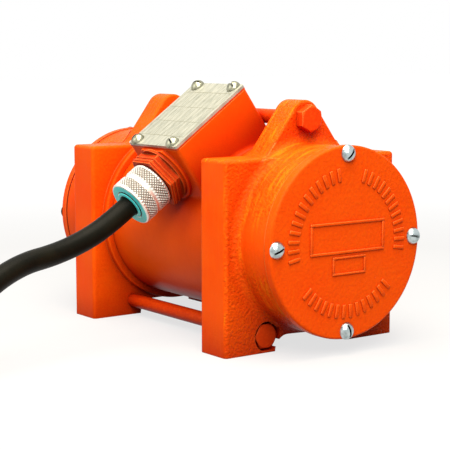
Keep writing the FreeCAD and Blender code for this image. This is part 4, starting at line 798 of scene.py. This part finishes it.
# ---------------------------------------------------------------- cord connector
@dataclass
class CordConnector:
    """Knurled compression nut and rubber bush on the terminal box's low end."""

    nut_length: float = 18.0
    nut_radius: float = 13.2
    inner_end: tuple = ((0.0, 1.0), (0.25, 0.45), (0.8, 0.25))   # in from the end, below the crest
    outer_end: tuple = ((0.75, 0.15), (0.25, 0.4), (0.0, 1.0))
    bore_radius: float = 11.1
    mouth_radius: float = 8.2
    mouth_lead: tuple[float, float] = (0.4, 0.5)   # depth and width of the mouth's chamfer
    face_thick: float = 3.2
    rim: float = 1.5                # plain rim at each end
    waist: tuple[float, float] = (7.5, 10.0)   # smooth band between the two knurls
    waist_slopes: tuple[float, float] = (0.9, 0.2)
    waist_drop: float = 0.35
    knurl_depth: float = 0.5
    knurl_pairs: int = 44           # diamonds of 1.9 mm, drawn coarser than the real 1.2 mm
    knurl_start: float = 0.6        # from the waist to the second knurl
    sharp_deg: float = 24.0         # keeps the diamonds' creases
    bush_proud: float = 0.8
    bush_length: float = 13.0
    bush_radius: float = 9.3
    bush_step: float = 4.1          # from its end back to the part inside the nut's face
    bush_slack: float = 0.1
    lip: float = 0.45
    collar_back: float = 0.6        # the plated collar covers this much of its end
    collar_gap: float = 0.5         # bare rubber between the cord and the bush's plated collar
    cord_radius: float = 5.7
    ridges: tuple[float, float] = (2.6, 4.9)   # from the nut's inner end back along the hexagon
    ridge_width: float = 1.1
    ridge_edge: float = 0.2
    ridge_flats: float = 28.9

    def frame(self) -> Matrix:
        """Find the connector's own frame.

        Returns:
            The frame: origin mid-nut, +X out along the cord.
        """
        outward = Vector((0.0, -math.cos(BOX_TILT), -math.sin(BOX_TILT)))
        across = Vector((1.0, 0.0, 0.0))
        turn = Matrix((outward, across, outward.cross(across))).transposed().to_4x4()
        return Matrix.Translation(middle("cord_connector_nut")) @ turn

    def bush_end(self) -> float:
        """Return how far the bush reaches out from mid-nut."""
        return self.nut_length / 2 + self.bush_proud

    def along(self, distance: float) -> Vector:
        """Return the point on the axis a distance in millimetres out from mid-nut."""
        return self.frame() @ Vector((distance * MM, 0.0, 0.0))

    def build(self) -> None:
        """Make the nut and the bush, and dress the body and the cord's inner end."""
        self.build_nut()
        self.build_bush()
        dress(Coat.CONNECTOR_ENAMEL, "cord_connector_body")
        dress(Coat.CORD_RUBBER, "cord_inner_end")
        self.build_ridges()

    def row(self) -> float:
        """Return half a diamond's length along the nut, in millimetres."""
        return math.pi * self.nut_radius / self.knurl_pairs

    def band(self, start: float, stop: float) -> list[tuple[float, float]]:
        """Cut one knurled band into rows.

        Args:
            start: Where its first row lies along the nut.
            stop: Where its last row lies, or up to half a row short of it.

        Returns:
            The rows' points on the outline.
        """
        count = math.ceil((stop - start) / self.row() + 0.5)
        return [(start + self.row() * i, self.nut_radius - self.knurl_depth)
                for i in range(count)]

    def outline(self) -> list[tuple[float, float]]:
        """Draw the nut's section.

        Returns:
            Its closed outline, with the knurled bands cut into rows.
        """
        half, r, mouth = self.nut_length / 2, self.nut_radius, self.mouth_radius
        low, high = self.waist[0] - half, self.waist[1] - half
        waist_r = r - self.waist_drop - self.knurl_depth
        lead, width = self.mouth_lead
        points = [(x - half, r - drop) for x, drop in self.inner_end]
        points += self.band(self.rim - half, low)
        points += [(low + self.waist_slopes[0], waist_r), (high - self.waist_slopes[1], waist_r)]
        points += self.band(high + self.knurl_start, half - self.rim)
        points += [(half - x, r - drop) for x, drop in self.outer_end]
        points += [(half, mouth + width), (half - lead, mouth), (half - self.face_thick, mouth),
                   (half - self.face_thick, self.bore_radius), (-half, self.bore_radius)]
        return points + points[:1]

    def build_nut(self) -> None:
        """Spin the nut, raise every second point of its bands and crease the diamonds."""
        steps = 2 * self.knurl_pairs
        bm = lathe(self.outline(), steps)
        relief = bm.verts.layers.float.new("relief")
        for v in bm.verts:
            v[relief] = 1.0
        band_r = (self.nut_radius - self.knurl_depth) * MM
        in_band = [v for v in bm.verts if abs(v.co.yz.length - band_r) < SAME]
        rows = sorted({round(v.co.x / MM, 3) for v in in_band})
        valleys = []
        for v in in_band:
            column = round(math.atan2(v.co.y, v.co.z) / math.tau * steps)
            if (column + rows.index(round(v.co.x / MM, 3))) % 2:
                valleys.append(v)
                v[relief] = 0.0
            else:
                v.co.yz = v.co.yz * (self.nut_radius * MM / band_r)
        bmesh.ops.connect_verts(bm, verts=valleys)
        front = self.nut_length / 2 * MM
        for face in bm.faces:
            if all(abs(v.co.x - front) < SAME for v in face.verts):
                face.material_index = 1
        bmesh.ops.transform(bm, matrix=self.frame(), verts=bm.verts)
        finish_piece(bm, "connector_nut", [Coat.NUT_METAL, Coat.BLUE_ZINC],
                     ("cord_connector_nut",), sharp_deg=self.sharp_deg)

    def build_ridges(self) -> None:
        """Turn two narrow ridges round the hexagon, as a bar-turned body has."""
        bm = bmesh.new()
        corner_r = self.ridge_flats / 2 / math.cos(math.pi / 6) * MM
        turn = Matrix.Rotation(math.pi / 2, 4, "Y")
        for start in self.ridges:
            made = bmesh.ops.create_circle(bm, segments=6, cap_ends=True, radius=corner_r)
            faces = [f for f in bm.faces if all(v in made["verts"] for v in f.verts)]
            grown = bmesh.ops.extrude_face_region(bm, geom=faces)["geom"]
            tops = [g for g in grown if isinstance(g, bmesh.types.BMVert)]
            bmesh.ops.translate(bm, verts=tops, vec=(0, 0, self.ridge_width * MM))
            where = Matrix.Translation((-(self.nut_length / 2 + start) * MM, 0, 0)) @ turn
            bmesh.ops.transform(bm, matrix=self.frame() @ where, verts=made["verts"] + tops)
        bmesh.ops.recalc_face_normals(bm, faces=bm.faces)
        bmesh.ops.bevel(bm, geom=list(bm.edges), offset=self.ridge_edge * MM, affect="EDGES",
                        segments=2, profile=0.5, material=-1)
        finish_piece(bm, "connector_hex_ridges", [Coat.CONNECTOR_ENAMEL])

    def build_bush(self) -> None:
        """Spin the bush: a rolled lip that closes on the cord, under a plated collar."""
        end, cord = self.bush_end(), self.cord_radius
        mouth = self.mouth_radius - self.bush_slack
        start, step, lip_start = end - self.bush_length, end - self.bush_step, end - self.lip
        outline = [(start, cord), (start, self.bush_radius), (step, self.bush_radius),
                   (step, mouth), (lip_start, mouth)]
        half_width = (mouth - cord) / 2
        for angle in (math.radians(30 * i) for i in range(1, 6)):
            outline.append((lip_start + self.lip * math.sin(angle),
                            cord + half_width + half_width * math.cos(angle)))
        outline += [(lip_start, cord), (start, cord)]
        bm = lathe(outline, 64)
        for face in bm.faces:
            spot = face.calc_center_median()
            if (spot.x > (end - self.collar_back) * MM
                    and spot.yz.length > (cord + self.collar_gap) * MM):
                face.material_index = 1
        bmesh.ops.transform(bm, matrix=self.frame(), verts=bm.verts)
        finish_piece(bm, "connector_bush", [Coat.BUSH_RUBBER, Coat.BLUE_ZINC],
                     ("cord_connector_bush",))


# ---------------------------------------------------------------- supply cord
@dataclass
class CordPlug:
    """Moulded three-blade plug at the cord's far end, lying beside the coil."""

    sleeve_ribs: int = 5
    sleeve_radius: tuple[float, float] = (6.6, 9.2)
    sleeve_length: float = 24.0
    sleeve_sunk: float = 2.0        # how far the sleeve runs on into the body
    sleeve_nose: tuple = ((0.0, 0.7), (0.5, 0.2), (1.2, 0.0))    # along, below the radius
    groove_start: float = 2.5
    groove_depth: float = 0.9
    groove_slope: float = 0.35
    groove_share: float = 0.35      # of the ribs' pitch
    rib_swell: float = 0.15
    body_inset: float = 0.6         # room for the grip bars
    body_edge: float = 4.0
    grip_bars: int = 4
    grip_half: tuple[float, float, float] = (0.55, 1.1, 7.5)
    grip_edge: float = 0.5
    grip_start: float = 6.0
    grip_pitch: float = 5.2
    blade_half: tuple[float, float] = (0.75, 3.15)     # thickness and width
    blade_edge: float = 0.6
    pin_radius: float = 2.4

    def build(self) -> list[bpy.types.Object]:
        """Make the moulded body and the blades; return both."""
        return [self.build_body(), self.build_blades()]

    def build_body(self) -> bpy.types.Object:
        """Model a block with soft corners, grip bars on its sides and a ribbed sleeve.

        Returns:
            The plug's body.
        """
        low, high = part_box("cord_plug")
        centre = (low + high) / 2
        bm = self.sleeve()
        start = Matrix.Translation((centre.x, low.y, centre.z))
        bmesh.ops.transform(bm, matrix=start @ Matrix.Rotation(math.pi / 2, 4, "Z"),
                            verts=bm.verts)
        block_low = low.y + self.sleeve_length * MM
        half = Vector(((high.x - low.x) / 2, (high.y - block_low) / 2, (high.z - low.z) / 2))
        half.x -= self.body_inset * MM
        place = Matrix.Translation((centre.x, (high.y + block_low) / 2, centre.z))
        rounded_block(bm, half, place, self.body_edge * MM, 5)
        for side in (-1, 1):
            for bar in range(self.grip_bars):
                y = block_low + (self.grip_start + self.grip_pitch * bar) * MM
                spot = Matrix.Translation((centre.x + side * half.x, y, centre.z))
                rounded_block(bm, Vector(self.grip_half) * MM, spot, self.grip_edge * MM, 3)
        return finish_piece(bm, "plug_body", [Coat.PLUG_VINYL], ("cord_plug",))

    def sleeve(self) -> bmesh.types.BMesh:
        """Spin the flex sleeve along +X from the origin: a taper with ring grooves.

        Returns:
            The sleeve.
        """
        r0, r1 = self.sleeve_radius
        length = self.sleeve_length + self.sleeve_sunk
        outline = [(0.0, 0.0)] + [(x, r0 - drop) for x, drop in self.sleeve_nose]
        pitch = (length - 2 * self.sleeve_sunk) / self.sleeve_ribs
        for rib in range(self.sleeve_ribs):
            x = self.groove_start + pitch * rib
            r = r0 + (r1 - r0) * x / length
            stop = x + pitch * self.groove_share
            outline += [(x, r), (x + self.groove_slope, r - self.groove_depth),
                        (stop, r - self.groove_depth),
                        (stop + self.groove_slope, r + self.rib_swell)]
        outline += [(length, r1), (length, 0.0)]
        return lathe(outline, 48)

    def build_blades(self) -> bpy.types.Object:
        """Model two flat blades and a round-nosed earth pin.

        Returns:
            The plug's contacts.
        """
        low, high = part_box("plug_blades")
        centre = (low + high) / 2
        thick, width = Vector(self.blade_half) * MM
        bm = bmesh.new()
        blade = Vector((thick, (high.y - low.y) / 2, width))
        for x in (low.x + thick, high.x - thick):
            spot = Matrix.Translation((x, centre.y, high.z - width))
            rounded_block(bm, blade, spot, self.blade_edge * MM, 2)
        r, tip = self.pin_radius, (high.y - low.y) / MM
        outline = [(0.0, 0.0), (0.0, r)]
        outline += [(tip - r + r * math.sin(a), r * math.cos(a))
                    for a in (math.radians(15 * i) for i in range(6))]
        outline.append((tip, 0.0))
        pin = lathe(outline, 32)
        spot = Matrix.Translation((centre.x, low.y, low.z + r * MM))
        bmesh.ops.transform(pin, matrix=spot @ Matrix.Rotation(math.pi / 2, 4, "Z"),
                            verts=pin.verts)
        loose = bpy.data.meshes.new("pin_shape")
        pin.to_mesh(loose)
        pin.free()
        bm.from_mesh(loose)
        bpy.data.meshes.remove(loose)
        return finish_piece(bm, "plug_contacts", [Coat.BRASS], ("plug_blades",))


@dataclass
class SupplyCord:
    """Rubber cord: out of the bush, down to the floor, coiled, and on to its plug."""

    diameter: float = 11.4
    length_m: float = 1.72
    first_run: float = 16.0
    route: tuple = ((17.5, -106.0, 57.5), (20.5, -124.5, 52.8), (26.0, -144.5, 51.0),
                    (33.5, -165.0, 44.5), (42.0, -184.0, 33.5), (50.0, -205.0, 23.5),
                    (55.8, -228.0, 18.2), (58.5, -246.0, 17.3), (58.5, -264.0, 17.3))
    tail: tuple = ((-84.9, -264.0, 5.7), (-84.9, -245.0, 5.7), (-85.4, -226.0, 8.4),
                   (-86.2, -207.0, 13.2), (-86.4, -189.0, 13.2))
    outer_turn: float = 71.7
    turn_gap: float = 11.6
    points_per_turn: int = 16
    total_deg: float = 1260.0
    inward_deg: tuple[float, float] = (215.0, 275.0)     # upper layer, outer turn to inner
    drop_deg: tuple[float, float] = (560.0, 610.0)       # upper layer to lower
    outward_deg: tuple[float, float] = (900.0, 950.0)    # lower layer, inner turn to outer

    def build(self, connector: CordConnector) -> bpy.types.Object:
        """Args:
            connector: The connector that the cord leaves.

        Returns:
            The cord's curve.
        """
        end = connector.bush_end()
        exit_point = connector.along(end)
        points = [exit_point, connector.along(end + self.first_run)]
        points += [Vector(p) * MM for p in self.route]
        points += self.coil()
        points += [Vector(p) * MM for p in self.tail]
        curve = bpy.data.curves.new("cord", "CURVE")
        curve.dimensions = "3D"
        curve.bevel_depth = self.diameter / 2 * MM
        curve.bevel_resolution = 9
        curve.use_fill_caps = True
        spline = curve.splines.new("NURBS")
        spline.points.add(len(points) - 1)
        for knot, point in zip(spline.points, points):
            knot.co = (*point, 1.0)
        spline.order_u = 3
        spline.use_endpoint_u = True
        spline.resolution_u = 8
        curve.materials.append(Coat.CORD_RUBBER.material())
        piece = bpy.data.objects.new("cord", curve)
        bpy.context.scene.collection.objects.link(piece)
        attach(piece, CARRIER)
        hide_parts("supply_cord", "cord_coil", "cord_tail")
        CordPlug().build()
        LOG.info("cord: %d control points", len(points))
        return piece

    def coil(self) -> list[Vector]:
        """Wind the coil clockwise, two turns deep and two layers high.

        Returns:
            Its control points, in metres.
        """
        start, end = Vector(self.route[-1]), Vector(self.tail[0])
        centre = Vector((start.x - self.outer_turn, start.y, 0.0))
        step = 360.0 / self.points_per_turn
        reach = 1 / math.cos(math.radians(step) / 2)
        points = []
        for number in range(1, round(self.total_deg / step)):
            angle = step * number
            inward = ease(angle, self.inward_deg) - ease(angle, self.outward_deg)
            radius = (self.outer_turn - self.turn_gap * inward) * reach
            height = start.z + (end.z - start.z) * ease(angle, self.drop_deg)
            turn = -math.radians(angle)
            points.append((centre + Vector((radius * math.cos(turn), radius * math.sin(turn),
                                            height))) * MM)
        return points


# ---------------------------------------------------------------- terminal box lid
@dataclass
class DataPlate:
    """Bare data plate that closes the terminal box: empty ruled fields, no lettering."""

    side_margin: float = 2.4
    end_margin: float = 8.5         # clear of the screws
    rule_width: float = 0.32
    thin_share: float = 0.6         # width of an inner line over the border's
    rule_height: float = 0.05
    rows: int = 9
    columns: tuple[float, float] = (-0.35, 0.3)      # places over the half length

    def frame(self) -> Matrix:
        """Find the lid's own frame.

        Returns:
            The frame: origin mid-face, +X along the shaft, +Z off the face.
        """
        lean = Matrix.Rotation(BOX_TILT, 4, "X")
        centre = middle("terminal_box_lid")
        return Matrix.Translation(centre) @ lean @ Matrix.Translation((0, 0, self.half_size()[2]))

    def half_size(self) -> tuple[float, float, float]:
        """Work the lid's own size out of its box, which is leaned over.

        Returns:
            Half its width, length and thickness, in metres.
        """
        low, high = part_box("terminal_box_lid")
        spans = high - low
        c, s = math.cos(BOX_TILT), math.sin(BOX_TILT)
        flat = (spans.y * c - spans.z * s) / (c * c - s * s)
        thick = (spans.z - flat * s) / c
        return spans.x / 2, flat / 2, thick / 2

    def build(self) -> None:
        """Dress the lid, its gasket and screws, and rule its face."""
        dress(Coat.DATA_PLATE, "terminal_box_lid")
        dress(Coat.LID_GASKET, "terminal_box_gasket")
        dress(Coat.DULL_ZINC, "terminal_box_lid_screws")
        self.build_rulings()

    def build_rulings(self) -> None:
        """Lay a thin border and rows of empty fields on the plate."""
        half_x, half_y, _ = self.half_size()
        place = self.frame()
        bm = bmesh.new()
        rule, thin = self.rule_width / 2 * MM, self.rule_width / 2 * self.thin_share * MM
        x_end, y_end = half_x - self.side_margin * MM, half_y - self.end_margin * MM
        for side in (-1, 1):
            self.rule(bm, place, (side * x_end, 0.0), (rule, y_end))
            self.rule(bm, place, (0.0, side * y_end), (x_end, rule))
        gap = 2 * x_end / (self.rows + 1)
        for row in range(1, self.rows + 1):
            self.rule(bm, place, (-x_end + gap * row, 0.0), (thin, y_end))
        for share in self.columns:
            self.rule(bm, place, (0.0, share * y_end), (x_end, thin))
        finish_piece(bm, "data_plate_rulings", [Coat.RULING])

    def rule(self, bm: bmesh.types.BMesh, place: Matrix, spot: tuple[float, float],
             half: tuple[float, float]) -> None:
        """Add one raised line to the plate's face."""
        size = Matrix.Diagonal((*half, self.rule_height * MM, 1.0))
        bmesh.ops.create_cube(bm, size=2.0, matrix=place @ Matrix.Translation((*spot, 0)) @ size)


# ---------------------------------------------------------------- covers
@dataclass
class CoverRelief:
    """Cast relief on a cover: short radial bars in three arcs and two blank framed pads."""

    end: str
    outward: float
    bar_ring: float = 35.5
    bar_half: tuple[float, float] = (3.6, 1.05)
    bar_edge: float = 0.45
    proud: float = 0.75
    arcs: tuple = ((100.0, 190.0), (-8.0, 72.0), (222.0, 318.0))
    bar_step: float = 7.2           # degrees
    pads: tuple = (((0.0, 3.0), (24.0, 7.5), 1.5),      # centre, half size and width of the rim
                   ((1.0, -11.5), (10.5, 4.2), 1.2))
    pad_edge: float = 0.35

    def build(self) -> None:
        """Raise the relief from the cover's face and dress the cover."""
        node = self.end + "_cover"
        place = self.frame()
        bm = bmesh.new()
        for start, stop in self.arcs:
            count = round((stop - start) / self.bar_step)
            for step in range(count + 1):
                self.bar(bm, place, math.radians(start + (stop - start) * step / count))
        for centre, half, rim in self.pads:
            self.pad(bm, place, centre, half, rim)
        finish_piece(bm, self.end + "_cover_relief", [Coat.COVER_ENAMEL])
        dress(Coat.COVER_ENAMEL, node)
        dress(Coat.GASKET, node + "_gasket")
        dress(Coat.ZINC, node + "_screws")

    def frame(self) -> Matrix:
        """Find the cover's own frame.

        Returns:
            The frame: origin mid-face, +X to the right and +Y up as one looks at the face.
        """
        low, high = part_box(self.end + "_cover")
        centre = (low + high) / 2
        centre.x = high.x if self.outward > 0 else low.x
        turn = Matrix.Rotation(math.pi / 2, 4, "Z") @ Matrix.Rotation(math.pi / 2, 4, "X")
        if self.outward < 0:
            turn = turn @ Matrix.Rotation(math.pi, 4, "Y")
        return Matrix.Translation(centre) @ turn

    def bar(self, bm: bmesh.types.BMesh, place: Matrix, angle: float) -> None:
        """Add one radial bar.

        Args:
            bm: The bmesh that gets it.
            place: The cover's frame.
            angle: Where it stands round the cover, in radians.
        """
        spot = Matrix.Rotation(angle, 4, "Z") @ Matrix.Translation((self.bar_ring * MM, 0, 0))
        half = Vector((*self.bar_half, self.proud)) * MM
        rounded_block(bm, half, place @ spot, self.bar_edge * MM, 2)

    def pad(self, bm: bmesh.types.BMesh, place: Matrix, centre: tuple[float, float],
            half: tuple[float, float], rim: float) -> None:
        """Add a blank pad: four raised rims round a plain field.

        Args:
            bm: The bmesh that gets it.
            place: The cover's frame.
            centre: Middle of the field, in millimetres.
            half: Half of its size.
            rim: Width of the rims.
        """
        x, y = centre
        for side in (-1, 1):
            for spot, size in (((x, y + side * half[1]), (half[0] + rim / 2, rim / 2)),
                               ((x + side * half[0], y), (rim / 2, half[1] - rim / 2))):
                where = place @ Matrix.Translation(Vector((*spot, 0.0)) * MM)
                rounded_block(bm, Vector((*size, self.proud)) * MM, where, self.pad_edge * MM, 2)


# ---------------------------------------------------------------- castings and insides
@dataclass
class Castings:
    """The two end housings with their covers, the stator shell and the tie bolts."""

    def build(self) -> None:
        """Dress the enamelled castings and relieve their covers."""
        dress(Coat.ROUGH_ENAMEL, "front_end_housing")
        dress(Coat.FAR_ENAMEL, "rear_end_housing")
        dress(Coat.SHELL_ENAMEL, "stator_shell")
        dress(Coat.HARDWARE_ENAMEL, "tie_bolts")
        CoverRelief("front", 1.0).build()
        CoverRelief("rear", -1.0).build()


@dataclass
class Insides:
    """Wiring, stator, rotor, bearings and weights behind the lid and the covers."""

    def build(self) -> None:
        """Dress every inner piece."""
        dress(Coat.BLACK_WIRE, "supply_line_lead")
        dress(Coat.WHITE_WIRE, "supply_neutral_lead")
        dress(Coat.GREEN_WIRE, "supply_earth_lead")
        dress(Coat.RED_WIRE, "motor_leads")
        dress(Coat.SPLICE, "lead_splices")
        dress(Coat.BRASS, "earth_terminal")
        dress(Coat.ZINC, "earth_screw")
        dress(Coat.CORE, "stator_core", "rotor_core")
        dress(Coat.COPPER, "stator_winding")
        dress(Coat.CAST_ALUMINIUM, "rotor_cage")
        dress(Coat.TURNED_STEEL, "rotor_shaft", "bearing_preload_washer")
        for end in ("front", "rear"):
            dress(Coat.WEIGHT_IRON, end + "_eccentric_weight")
            dress(Coat.TURNED_STEEL, end + "_weight_key", end + "_weight_washer",
                  end + "_weight_nut")
            dress(Coat.BEARING, end + "_bearing_outer_race", end + "_bearing_inner_race",
                  end + "_bearing_balls")
            dress(Coat.CAGE, end + "_bearing_cage")


def main() -> None:
    """Build the studio and every sub-assembly in order."""
    logging.basicConfig(level=logging.INFO, format="%(message)s")
    Studio().build()
    connector = CordConnector()
    SupplyCord().build(connector)
    connector.build()
    DataPlate().build()
    Castings().build()
    Insides().build()


if __name__ == "__main__":
    main()
